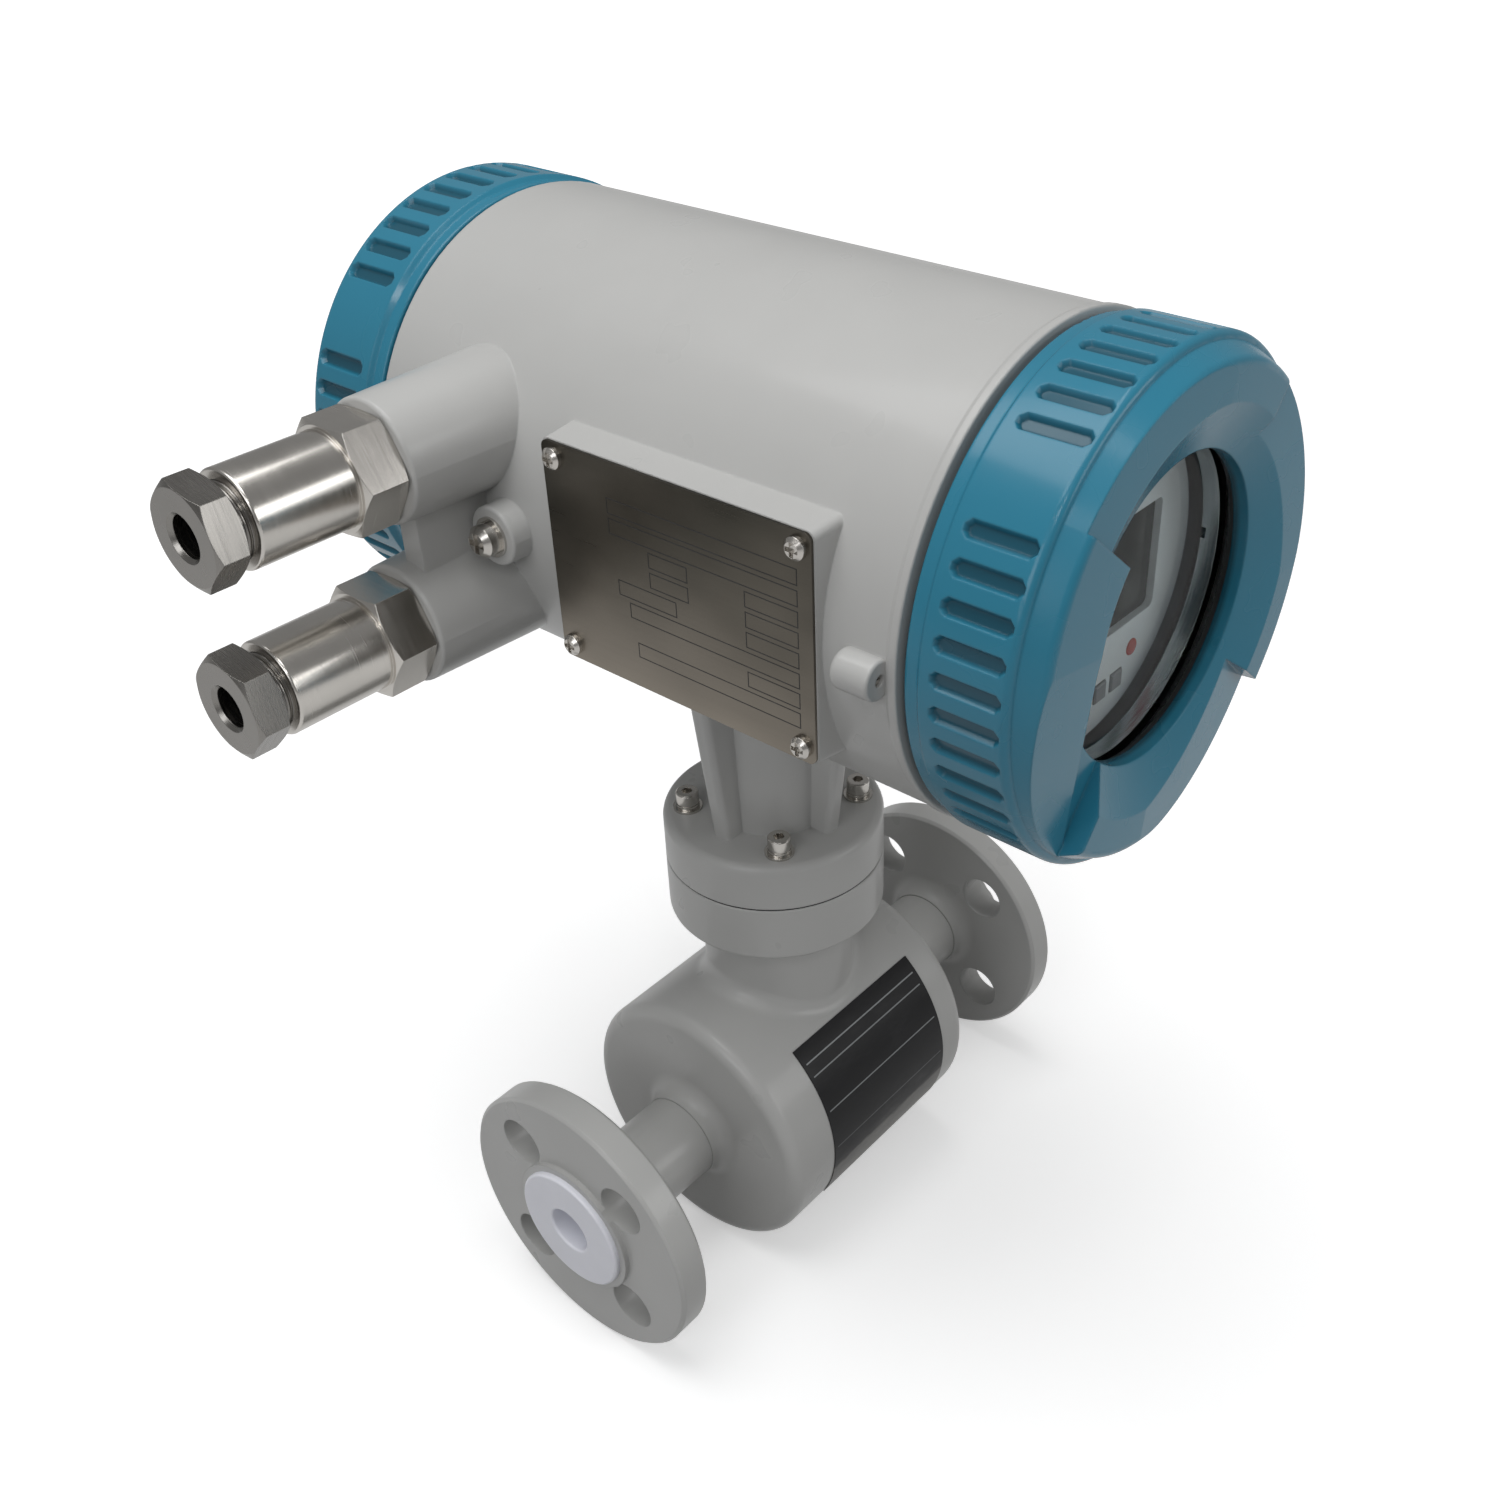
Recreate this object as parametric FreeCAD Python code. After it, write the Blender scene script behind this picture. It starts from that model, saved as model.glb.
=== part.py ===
"""Electromagnetic flow meter: lined DN 15 flow tube with a compact converter on a bolted neck.

Millimetres. The pipe axis is X, with the bore's centre at the origin. The converter's axis is
parallel to Y above it: the display cover faces -Y and the terminal cover faces +Y. Z is up.
"""
import FreeCAD, Part
import os
from math import cos, radians, sin, sqrt, tan

V = FreeCAD.Vector
X = V(1, 0, 0)
Y = V(0, 1, 0)
Z = V(0, 0, 1)

# --- Flow tube, liner and flanges ---------------------------------------------------------
FACE_TO_FACE = 200.0
BORE_R = 7.5
LINER_WALL = 3.0
TUBE_WALL = 3.5
FLANGE_R = 45.0
FLANGE_T = 10.4
FLANGE_CHAMFER = 1.0
RAISED_FACE_R = 22.5
RAISED_FACE_T = 1.6
LINER_LIP_R = 20.2
LINER_LIP_T = 1.8
BOLT_CIRCLE_R = 30.15
BOLT_HOLE_R = 7.95
BOLT_COUNT = 4
WELD_LEG = 6.0
WELD_TOE = 0.4

# --- Sensor housing, magnet and electrodes ------------------------------------------------
SHELL_R = 44.0
SHELL_LENGTH = 90.0
SHELL_WALL = 4.0
SHELL_ROUNDING = 4.5
STUB_R = 24.0
STUB_WALL = 5.0
STUB_FILLET = 6.0
COIL_INNER_R = 8.0
COIL_OUTER_R = 16.5
COIL_HEIGHT = 9.0
POLE_R = 7.5
POLE_SHOE_T = 2.0
POLE_SHOE_LENGTH = 30.0
YOKE_R = 34.0
YOKE_WALL = 2.0
YOKE_LENGTH = 40.0
ELECTRODE_R = 1.5
ELECTRODE_HEAD_R = 3.0
ELECTRODE_HEAD_T = 1.4
ELECTRODE_LENGTH = 16.0
BUSH_R = 3.6
BUSH_COLLAR_R = 5.2
BUSH_COLLAR_T = 3.0

# --- Bolted neck joint --------------------------------------------------------------------
NECK_JOINT_Z = 88.5
NECK_PLATE_R = 34.0
LOWER_PLATE_T = 19.0
UPPER_PLATE_T = 15.5
PLATE_ROUNDING = 2.5
GASKET_T = 0.5
CABLE_WAY_R = 11.0
NECK_SCREW_OFFSET = 18.5
SCREW_R = 2.0
SCREW_HEAD_R = 3.5
SCREW_HEAD_H = 4.0
SCREW_SOCKET_R = 1.7
SCREW_SOCKET_DEPTH = 2.2
SCREW_GRIP = 10.0
WASHER_R = 4.5
WASHER_T = 0.8
SPRING_WASHER_R = 3.7
SPRING_WASHER_T = 1.2

# --- Converter housing --------------------------------------------------------------------
HOUSING_R = 63.0
NECK_HEIGHT = 46.5
HOUSING_WALL = 6.0
HOUSING_FRONT_Y = -94.5
HOUSING_REAR_Y = 80.5
RIM_STEP = 0.5
RIM_WIDTH = 2.0
PARTITION_Y = 17.0
PARTITION_T = 6.0
WIRE_WAY_R = 9.0
COLUMN_R = 18.0
COLUMN_TOP_R = 20.0
RIB_T = 6.4
RIB_FOOT = 24.0
RIB_HEAD = 31.0
ENTRY_Y = 45.0
ENTRY_SPACING = 45.0
ENTRY_REACH = 27.0
ENTRY_BOSS_R = 16.3
ENTRY_BOSS_ROOT_R = 18.0
WEB_T = 7.0
WEB_REACH = 22.0
GROUND_Y = 29.5
GROUND_REACH = 6.0
GROUND_BOSS_R = 8.0
PLATE_WIDTH = 84.0
PLATE_HEIGHT = 59.2
PLATE_CENTRE_Y = -31.5
PLATE_STANDOFF = 1.7
PLATE_T = 0.8
PLATE_CORNER_R = 2.0
PLATE_INSET = 4.0
PAD_DRAFT = 2.5
LOCK_BOSS_R = 5.0
LOCK_BOSS_STANDOFF = 1.8
LOCK_BOSS_FRONT_Y = -91.5
LOCK_BOSS_LENGTH = 11.0
LOCK_SCREW_R = 1.5

# --- Screw covers -------------------------------------------------------------------------
COVER_GAP = 1.5
COVER_STEP = 0.5
COVER_EDGE_ROUNDING = 2.0
PLAIN_EDGE = 3.6
GRIP_RISE = 1.3
FRONT_BAND_LENGTH = 27.5
REAR_BAND_LENGTH = 30.5
REAR_TAPER = 4.5
REAR_CORNER = 3.5
COVER_END_T = 5.0
SPIGOT_CLEARANCE = 0.5
SPIGOT_WALL = 5.5
SPIGOT_LENGTH = 16.0
RUNNING_GAP = 0.3
O_RING_R = 0.7
O_RING_SIDES = 8
GROOVE_HALF_WIDTH = 2.25
GROOVE_DEPTH = 1.4
GROOVE_DRAFT = 0.9
GROOVE_CORNER = 1.4
GROOVE_START = 7.5
GROOVE_LENGTH = 18.3
GROOVE_GROUPS = 4
GROOVES_PER_GROUP = 10
GROOVE_PITCH_DEG = 7.5
FRONT_GROOVES_START_DEG = 55.8
REAR_GROOVES_START_DEG = 66.0

# --- Window and grip lugs of the front cover ----------------------------------------------
WINDOW_R = 38.0
WINDOW_LIP_T = 3.0
SEAT_R = 44.0
LUG_SETBACK = 4.0
LUG_DRAFT = 2.8
LUG_HEIGHT = 6.0
LUG_ROUNDING = 2.4
LUG_START_DEG = 49.5
LUG_FLAT_DEG = 30.0
LUG_SPAN_DEG = 90.0
LUG_LOW_HEIGHTS = (4.6, 0.6, 1.2, 3.4)
WIDE_LUG = 1
DISH_HEIGHT = 1.0
DISH_WIDTH = 11.5
WINDOW_GASKET_T = 2.0
WINDOW_GASKET_LAND = 4.6
GLASS_T = 5.0
RETAINER_T = 4.8
RETAINER_LAND = 3.5

# --- Display and electronics --------------------------------------------------------------
DISPLAY_Y = -105.0
DISPLAY_CLEARANCE = 2.5
DISPLAY_WALL = 2.0
DISPLAY_DEPTH = 13.0
LCD_WIDTH = 53.0
LCD_HEIGHT = 30.0
LCD_BOTTOM = -15.8
LCD_BORDER = 1.6
LCD_T = 4.0
LAMP_R = 2.3
LAMP_X = 17.7
LAMP_DROP = 24.0
KEY_SIZE = 5.0
KEY_COUNT = 4
KEY_SPACING = 7.4
KEY_DROP = 30.6
KEY_LENGTH = 5.5
KEY_PROUD = 0.6
KEY_TRAVEL = 0.6
KEY_GAP = 0.3
BOARD_T = 1.6
POST_X = 27.0
POST_Z = 22.0
POST_R = 3.0
MAIN_BOARD_Y = -60.0
POWER_BOARD_Y = -25.0
BOARD_CLEARANCE = 11.0
TRANSFORMER = (34.0, 22.0, 28.0)
CAPACITOR_R = 6.0
CAPACITOR_HEIGHT = 16.0
TERMINAL_BOARD_T = 4.0
TERMINAL_BOARD_SIZE = (70.0, 50.0)
TERMINAL_COUNT = 8
TERMINAL_PITCH = 8.0
TERMINAL_DEPTH = 12.0
TERMINAL_HEIGHT = 12.0
TERMINAL_ROW_GAP = 26.0

# --- Cable glands -------------------------------------------------------------------------
GLAND_THREAD_R = 9.8
GLAND_THREAD_LENGTH = 14.0
GLAND_HEX = 27.0
GLAND_HEX_T = 12.5
GLAND_BODY_R = 12.5
GLAND_BODY_LENGTH = 27.5
GLAND_SOCKET_R = 9.8
GLAND_SOCKET_DEPTH = 28.0
NUT_HEX = 24.0
NUT_HEX_T = 8.5
NUT_SHOULDER_GAP = 3.0
NUT_SHANK_LENGTH = 14.0
NUT_BORE_R = 5.3
SEAL_BORE_R = 4.5
THRUST_T = 1.5
TIGHTEN_TRAVEL = 1.5

# --- Small fixings and label --------------------------------------------------------------
PAN_HEAD_R = 2.9
PAN_HEAD_H = 2.0
PLATE_SCREW_R = 1.4
PLATE_SCREW_LENGTH = 5.0
GROUND_SCREW_R = 2.5
GROUND_HEAD_R = 4.4
GROUND_HEAD_H = 3.4
GROUND_GRIP = 9.0
GROUND_WASHER_R = 5.4
LABEL_START_X = -26.0
LABEL_END_X = 32.0
LABEL_T = 0.25
LABEL_GLUE_T = 0.05
LABEL_TOP_DEG = 128.5
LABEL_BOTTOM_DEG = 208.0

# --- Places worked out from the sizes above -----------------------------------------------
TUBE_INNER_R = BORE_R + LINER_WALL
TUBE_R = TUBE_INNER_R + TUBE_WALL
RAISED_FACE_X = FACE_TO_FACE / 2 - LINER_LIP_T
FLANGE_FACE_X = RAISED_FACE_X - RAISED_FACE_T
FLANGE_BACK_X = FLANGE_FACE_X - FLANGE_T
UPPER_PLATE_Z = NECK_JOINT_Z + GASKET_T
UPPER_PLATE_TOP_Z = UPPER_PLATE_Z + UPPER_PLATE_T
CONVERTER_Z = UPPER_PLATE_TOP_Z + NECK_HEIGHT + HOUSING_R
CAVITY_R = HOUSING_R - HOUSING_WALL
ENTRY_END_X = -(HOUSING_R + ENTRY_REACH)
WEB_END_X = -(HOUSING_R + WEB_REACH)
GROUND_END_X = -(HOUSING_R + GROUND_REACH)
PLATE_X = -(HOUSING_R + PLATE_STANDOFF)
LOCK_BOSS_X = -(HOUSING_R + LOCK_BOSS_STANDOFF)
COVER_R = HOUSING_R - COVER_STEP
GRIP_R = COVER_R + GRIP_RISE
REAR_END_R = COVER_R - REAR_TAPER
SPIGOT_R = CAVITY_R - SPIGOT_CLEARANCE
LUG_R = HOUSING_R - LUG_SETBACK
DISH_OUTER_R = WINDOW_R + DISH_WIDTH
RETAINER_R = SEAT_R - RETAINER_LAND
DISPLAY_R = SEAT_R - DISPLAY_CLEARANCE
BOARD_R = CAVITY_R - BOARD_CLEARANCE
FRONT_COVER_Y = HOUSING_FRONT_Y - COVER_GAP
FRONT_FACE_Y = FRONT_COVER_Y - FRONT_BAND_LENGTH
REAR_COVER_Y = HOUSING_REAR_Y + COVER_GAP
REAR_FACE_Y = REAR_COVER_Y + REAR_BAND_LENGTH
SPIGOT_BORE_R = SPIGOT_R - SPIGOT_WALL
GLASS_SEAT_Y = FRONT_FACE_Y + WINDOW_LIP_T
GLASS_FRONT_Y = GLASS_SEAT_Y + WINDOW_GASKET_T
GLASS_BACK_Y = GLASS_FRONT_Y + GLASS_T
RETAINER_BACK_Y = GLASS_BACK_Y + RETAINER_T
DISPLAY_BOARD_Y = DISPLAY_Y + DISPLAY_DEPTH
ENTRY_HEIGHTS = (CONVERTER_Z + ENTRY_SPACING / 2, CONVERTER_Z - ENTRY_SPACING / 2)
GLAND_MOUTH_X = ENTRY_END_X - GLAND_HEX_T - GLAND_BODY_LENGTH
NUT_SHOULDER_X = GLAND_MOUTH_X - NUT_SHOULDER_GAP
THRUST_X = NUT_SHOULDER_X + NUT_SHANK_LENGTH
PITCH_CENTRE = V(0, 0, CONVERTER_Z)


# --- Helpers ------------------------------------------------------------------------------

def rod(radius, start, end):
    """Round bar from one point to another."""
    run = end - start
    return Part.makeCylinder(radius, run.Length, start, run)


def tube(inner, outer, start, end):
    """Round bar with a round bore."""
    return rod(outer, start, end).cut(rod(inner, start, end))


def block(low, high):
    """Box between two opposite corners."""
    size = high - low
    return Part.makeBox(size.x, size.y, size.z, low)


def outline(corners, place):
    """Closed wire through (a, b) corners, set in space by place(a, b).

    A third number in a corner is the radius that rounds it.
    """
    points = [V(corner[0], corner[1], 0) for corner in corners]
    bends = []
    for i, corner in enumerate(corners):
        here = points[i]
        if len(corner) == 2:
            bends.append((here, here, here))
            continue
        back = (points[i - 1] - here).normalize()
        ahead = (points[(i + 1) % len(points)] - here).normalize()
        half = back.getAngle(ahead) / 2
        reach = corner[2] / tan(half)
        middle = here + (back + ahead).normalize() * (corner[2] / sin(half) - corner[2])
        bends.append((here + back * reach, middle, here + ahead * reach))
    edges = []
    for i, bend in enumerate(bends):
        entry, middle, leave = [place(point.x, point.y) for point in bend]
        if not entry.isEqual(leave, 1e-6):
            edges.append(Part.Arc(entry, middle, leave).toShape())
        following = bends[(i + 1) % len(bends)][0]
        following = place(following.x, following.y)
        if not leave.isEqual(following, 1e-6):
            edges.append(Part.LineSegment(leave, following).toShape())
    return Part.Wire(edges)


def turned(corners, origin, axis):
    """Solid of revolution; each corner is (radius, distance along the axis[, rounding])."""
    side = axis.cross(Z) if abs(axis.z) < 0.5 else V(1, 0, 0)
    wire = outline(corners, lambda a, b: origin + side * a + axis * b)
    return Part.Face(wire).revolve(origin, axis, 360)


def extruded(corners, place, run):
    """Prism on an outline."""
    return Part.Face(outline(corners, place)).extrude(run)


def rectangle(width, height, rounding=None):
    """Corners of a centred rectangle."""
    half_w = width / 2
    half_h = height / 2
    signs = ((-1, -1), (1, -1), (1, 1), (-1, 1))
    if rounding is None:
        return [(half_w * a, half_h * b) for a, b in signs]
    return [(half_w * a, half_h * b, rounding) for a, b in signs]


def hexagon(across_flats, start, run, turn_deg=0.0):
    """Hexagonal bar along X with its bearing corners chamfered at both ends."""
    corner_r = across_flats / sqrt(3)
    points = []
    for i in range(6):
        angle = radians(60 * i + turn_deg)
        points.append((corner_r * cos(angle), corner_r * sin(angle)))
    bar = extruded(points, lambda a, b: start + Y * a + Z * b, X * run)
    bevel = (corner_r - across_flats / 2) * 0.5
    length = abs(run)
    round_off = turned([(0, 0), (across_flats / 2, 0), (corner_r, bevel), (corner_r, length - bevel),
                        (across_flats / 2, length), (0, length)], start, X * (run / length))
    return bar.common(round_off)


def drafted(low, high):
    """Solid between two polygons whose matching sides are parallel."""
    faces = [Part.Face(Part.makePolygon(ring + ring[:1])) for ring in (low, high)]
    for i in range(len(low)):
        j = (i + 1) % len(low)
        faces.append(Part.Face(Part.makePolygon([low[i], low[j], high[j], high[i], low[i]])))
    return Part.makeSolid(Part.makeShell(faces))


def joined(first, others):
    """Fuse solids and drop the seams between faces that continue each other."""
    return first.fuse(others).removeSplitter()


def one_solid(shape):
    """The single solid inside a result that may be wrapped in a compound."""
    return shape.Solids[0] if len(shape.Solids) == 1 else shape


def radial(radius, angle_deg, y=0.0):
    """Point in the converter's cylindrical coordinates; angles run from +X towards +Z."""
    angle = radians(angle_deg)
    return V(radius * cos(angle), y, CONVERTER_Z + radius * sin(angle))


def on_axis(y):
    """Point on the converter's axis."""
    return V(0, y, CONVERTER_Z)


# --- Flow tube ----------------------------------------------------------------------------

def measuring_tube():
    """Stainless tube that runs through both flanges to their raised faces."""
    tube_body = tube(TUBE_INNER_R, TUBE_R, X * -RAISED_FACE_X, X * RAISED_FACE_X)
    return tube_body.cut(rod(BUSH_R, Y * -TUBE_R * 1.5, Y * TUBE_R * 1.5))


def flange(side):
    """Slip-on flange with a raised face and the weld fillet behind it."""
    profile = [
        (TUBE_R, FLANGE_BACK_X - WELD_LEG),
        (TUBE_R + WELD_TOE, FLANGE_BACK_X - WELD_LEG),
        (TUBE_R + WELD_TOE, FLANGE_BACK_X, WELD_LEG * 0.9),
        (FLANGE_R - FLANGE_CHAMFER, FLANGE_BACK_X),
        (FLANGE_R, FLANGE_BACK_X + FLANGE_CHAMFER),
        (FLANGE_R, FLANGE_FACE_X - FLANGE_CHAMFER),
        (FLANGE_R - FLANGE_CHAMFER, FLANGE_FACE_X),
        (RAISED_FACE_R, FLANGE_FACE_X),
        (RAISED_FACE_R, RAISED_FACE_X),
        (TUBE_R, RAISED_FACE_X),
    ]
    disc = turned(profile, V(), X * side)
    holes = []
    for i in range(BOLT_COUNT):
        angle = radians(360 / BOLT_COUNT * (i + 0.5))
        centre = V(0, BOLT_CIRCLE_R * cos(angle), BOLT_CIRCLE_R * sin(angle))
        holes.append(rod(BOLT_HOLE_R, centre, centre + X * side * FACE_TO_FACE))
    return disc.cut(holes)


def liner():
    """PTFE lining, turned over the raised faces at both ends."""
    half = FACE_TO_FACE / 2
    profile = [
        (BORE_R, -half, 0.8),
        (LINER_LIP_R, -half, 0.8),
        (LINER_LIP_R, -RAISED_FACE_X),
        (TUBE_INNER_R, -RAISED_FACE_X),
        (TUBE_INNER_R, RAISED_FACE_X),
        (LINER_LIP_R, RAISED_FACE_X),
        (LINER_LIP_R, half, 0.8),
        (BORE_R, half, 0.8),
    ]
    lining = turned(profile, V(), X)
    pockets = rod(ELECTRODE_HEAD_R, Y * -(BORE_R + ELECTRODE_HEAD_T), Y * (BORE_R + ELECTRODE_HEAD_T))
    stems = rod(ELECTRODE_R, Y * -TUBE_R, Y * TUBE_R)
    return lining.cut([pockets, stems])


def electrode(side):
    """Pickup electrode: a flush head in the bore and a stem out through the tube wall."""
    head = rod(ELECTRODE_HEAD_R, Y * side * BORE_R, Y * side * (BORE_R + ELECTRODE_HEAD_T))
    stem = rod(ELECTRODE_R, Y * side * BORE_R, Y * side * (BORE_R + ELECTRODE_LENGTH))
    return joined(head, [stem])


def electrode_bush(side):
    """Insulating bush around an electrode's stem."""
    profile = [
        (ELECTRODE_R, TUBE_INNER_R),
        (BUSH_R, TUBE_INNER_R),
        (BUSH_R, TUBE_R),
        (BUSH_COLLAR_R, TUBE_R),
        (BUSH_COLLAR_R, TUBE_R + BUSH_COLLAR_T),
        (ELECTRODE_R, TUBE_R + BUSH_COLLAR_T),
    ]
    bush = turned(profile, V(), Y * side)
    return bush.cut(rod(TUBE_INNER_R, X * -BUSH_R * 2, X * BUSH_R * 2))


# --- Magnet -------------------------------------------------------------------------------

def coil(side):
    """Excitation winding above or below the tube."""
    base = TUBE_R + POLE_SHOE_T
    return tube(COIL_INNER_R, COIL_OUTER_R, Z * side * base, Z * side * (base + COIL_HEIGHT))


def pole(side):
    """Pole core with its curved shoe on the tube, reaching out to the yoke."""
    shoe = tube(TUBE_R, TUBE_R + POLE_SHOE_T, X * (-POLE_SHOE_LENGTH / 2), X * (POLE_SHOE_LENGTH / 2))
    reach = TUBE_R + POLE_SHOE_T
    cap_z = sorted((side * reach * cos(radians(50)), side * reach))
    shoe = shoe.common(block(V(-reach * 2, -reach, cap_z[0]), V(reach * 2, reach, cap_z[1])))
    core = rod(POLE_R, Z * side * TUBE_R, Z * side * YOKE_R)
    core = core.common(tube(TUBE_R, YOKE_R - YOKE_WALL, X * -POLE_R * 2, X * POLE_R * 2))
    return joined(shoe, [core])


def magnet_yoke():
    """Steel ring around both coils that carries the magnetic return path."""
    half = YOKE_LENGTH / 2
    return tube(YOKE_R - YOKE_WALL, YOKE_R, X * -half, X * half)


# --- Sensor housing -----------------------------------------------------------------------

def sensor_housing():
    """Welded housing: rounded shell, end plates, stub and the lower neck plate."""
    half = SHELL_LENGTH / 2
    shell = turned([(0, -half), (SHELL_R, -half, SHELL_ROUNDING), (SHELL_R, half, SHELL_ROUNDING),
                    (0, half)], V(), X)
    plate_bottom = NECK_JOINT_Z - LOWER_PLATE_T
    stub = rod(STUB_R, V(), Z * (plate_bottom + 1))
    shell = joined(shell, [stub])
    seam = [edge for edge in shell.Edges
            if edge.BoundBox.ZMin > SHELL_R * 0.5 and edge.BoundBox.ZMax < SHELL_R + 1]
    shell = shell.makeFillet(STUB_FILLET, seam)
    plate = turned([(0, plate_bottom), (NECK_PLATE_R, plate_bottom, 1.5),
                    (NECK_PLATE_R, NECK_JOINT_Z, 0.4), (0, NECK_JOINT_Z)], V(), Z)
    welds = []
    for side in (-1, 1):
        welds.append(turned([(TUBE_R - 1, half - 1), (TUBE_R + WELD_LEG + WELD_TOE, half - 1),
                             (TUBE_R + WELD_LEG + WELD_TOE, half), (TUBE_R + WELD_TOE, half, WELD_LEG * 0.9),
                             (TUBE_R + WELD_TOE, half + WELD_LEG), (TUBE_R - 1, half + WELD_LEG)],
                            V(), X * side))
    shell = joined(shell, [plate] + welds)
    inner = half - SHELL_WALL
    inner_round = SHELL_ROUNDING - SHELL_WALL
    cavity = turned([(0, -inner), (SHELL_R - SHELL_WALL, -inner, inner_round),
                     (SHELL_R - SHELL_WALL, inner, inner_round), (0, inner)], V(), X)
    tube_way = rod(TUBE_R, X * -FACE_TO_FACE, X * FACE_TO_FACE)
    riser = rod(STUB_R - STUB_WALL, V(), Z * plate_bottom)
    cable_way = rod(CABLE_WAY_R, V(), Z * (NECK_JOINT_Z + 1))
    holes = []
    for place in neck_screw_places():
        holes.append(rod(SCREW_R, place + Z * (NECK_JOINT_Z - SCREW_GRIP), place + Z * (NECK_JOINT_Z + 1)))
    return shell.cut([cavity, tube_way, riser, cable_way] + holes)


def neck_screw_places():
    """Screw axes of the bolted neck joint, at height zero."""
    offset = NECK_SCREW_OFFSET
    return [V(a * offset, b * offset, 0) for a in (-1, 1) for b in (-1, 1)]


def neck_gasket():
    """Flat gasket between the two neck plates."""
    disc = tube(CABLE_WAY_R, NECK_PLATE_R - 0.4, Z * NECK_JOINT_Z, Z * UPPER_PLATE_Z)
    holes = [rod(SCREW_R, place, place + Z * CONVERTER_Z) for place in neck_screw_places()]
    return disc.cut(holes)


def neck_screws():
    """Four socket cap screws through the upper neck plate."""
    seat_z = UPPER_PLATE_TOP_Z + WASHER_T + SPRING_WASHER_T
    screws = []
    for place in neck_screw_places():
        shank = rod(SCREW_R, place + Z * (NECK_JOINT_Z - SCREW_GRIP), place + Z * seat_z)
        head = turned([(0, 0), (SCREW_HEAD_R, 0), (SCREW_HEAD_R, SCREW_HEAD_H - 0.4),
                       (SCREW_HEAD_R - 0.4, SCREW_HEAD_H), (0, SCREW_HEAD_H)], place + Z * seat_z, Z)
        socket = hex_socket(place + Z * (seat_z + SCREW_HEAD_H))
        screws.append(head.fuse(shank).cut(socket))
    return Part.makeCompound(screws)


def hex_socket(top):
    """Tool volume of a hexagon socket that opens upwards at the given point."""
    points = []
    for i in range(6):
        angle = radians(60 * i)
        points.append((SCREW_SOCKET_R * cos(angle), SCREW_SOCKET_R * sin(angle)))
    start = top + Z * -SCREW_SOCKET_DEPTH
    return extruded(points, lambda a, b: start + X * a + Y * b, Z * (SCREW_SOCKET_DEPTH + 1))


def neck_washers():
    """Flat washers under the neck screws."""
    base = Z * UPPER_PLATE_TOP_Z
    return Part.makeCompound([tube(SCREW_R, WASHER_R, place + base, place + base + Z * WASHER_T)
                              for place in neck_screw_places()])


def neck_spring_washers():
    """Split spring washers between the flat washers and the screw heads."""
    base = Z * (UPPER_PLATE_TOP_Z + WASHER_T)
    washers = []
    for place in neck_screw_places():
        ring = tube(SCREW_R, SPRING_WASHER_R, place + base, place + base + Z * SPRING_WASHER_T)
        low = place + base + V(0, -0.25, 0)
        split = block(low, low + V(SPRING_WASHER_R + 1, 0.5, SPRING_WASHER_T))
        washers.append(ring.cut(split))
    return Part.makeCompound(washers)


# --- Converter housing --------------------------------------------------------------------

def barrel():
    """Outer form of the converter's barrel, with a slightly raised rim at the front."""
    front = HOUSING_FRONT_Y
    rim = HOUSING_R + RIM_STEP
    return turned([(0, front), (rim, front, 0.5), (rim, front + RIM_WIDTH), (HOUSING_R, front + RIM_WIDTH + 1),
                   (HOUSING_R, HOUSING_REAR_Y, 0.8), (0, HOUSING_REAR_Y)], on_axis(0), Y)


def neck_column():
    """Cast column with four tapered ribs, standing on the upper neck plate."""
    top = CONVERTER_Z - HOUSING_R * 0.9
    plate = turned([(0, UPPER_PLATE_Z), (NECK_PLATE_R, UPPER_PLATE_Z, 0.4),
                    (NECK_PLATE_R, UPPER_PLATE_TOP_Z, PLATE_ROUNDING), (0, UPPER_PLATE_TOP_Z)], V(), Z)
    core = turned([(0, UPPER_PLATE_Z + 1), (COLUMN_R, UPPER_PLATE_Z + 1), (COLUMN_R, UPPER_PLATE_TOP_Z),
                   (COLUMN_TOP_R, top), (0, top)], V(), Z)
    solids = [core]
    for run in (X, Y):
        across = run.cross(Z)
        start = across * (-RIB_T / 2)
        profile = [(-RIB_FOOT, UPPER_PLATE_TOP_Z - 1), (RIB_FOOT, UPPER_PLATE_TOP_Z - 1), (RIB_HEAD, top),
                   (-RIB_HEAD, top)]
        rib = extruded(profile, lambda a, b: start + run * a + Z * b, across * RIB_T)
        upright = [edge for edge in rib.Edges if edge.BoundBox.ZLength > UPPER_PLATE_T]
        solids.append(rib.makeFillet(RIB_T * 0.3, upright))
    return plate, solids


def entry_bosses():
    """Two cable-entry bosses with the web between them and the ground-screw boss beside it."""
    root_x = -HOUSING_R * 0.5
    solids = []
    for height in ENTRY_HEIGHTS:
        length = root_x - ENTRY_END_X
        solids.append(turned([(0, 0), (ENTRY_BOSS_R, 0, 1.0), (ENTRY_BOSS_ROOT_R, length), (0, length)],
                             V(ENTRY_END_X, ENTRY_Y, height), X))
    web_low = V(WEB_END_X, ENTRY_Y - WEB_T, ENTRY_HEIGHTS[1])
    solids.append(block(web_low, V(root_x, ENTRY_Y, ENTRY_HEIGHTS[0])))
    ground_length = root_x - GROUND_END_X
    solids.append(turned([(0, 0), (GROUND_BOSS_R, 0, 0.8), (GROUND_BOSS_R + 0.8, ground_length),
                          (0, ground_length)], V(GROUND_END_X, GROUND_Y, CONVERTER_Z - 1), X))
    return solids


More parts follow.
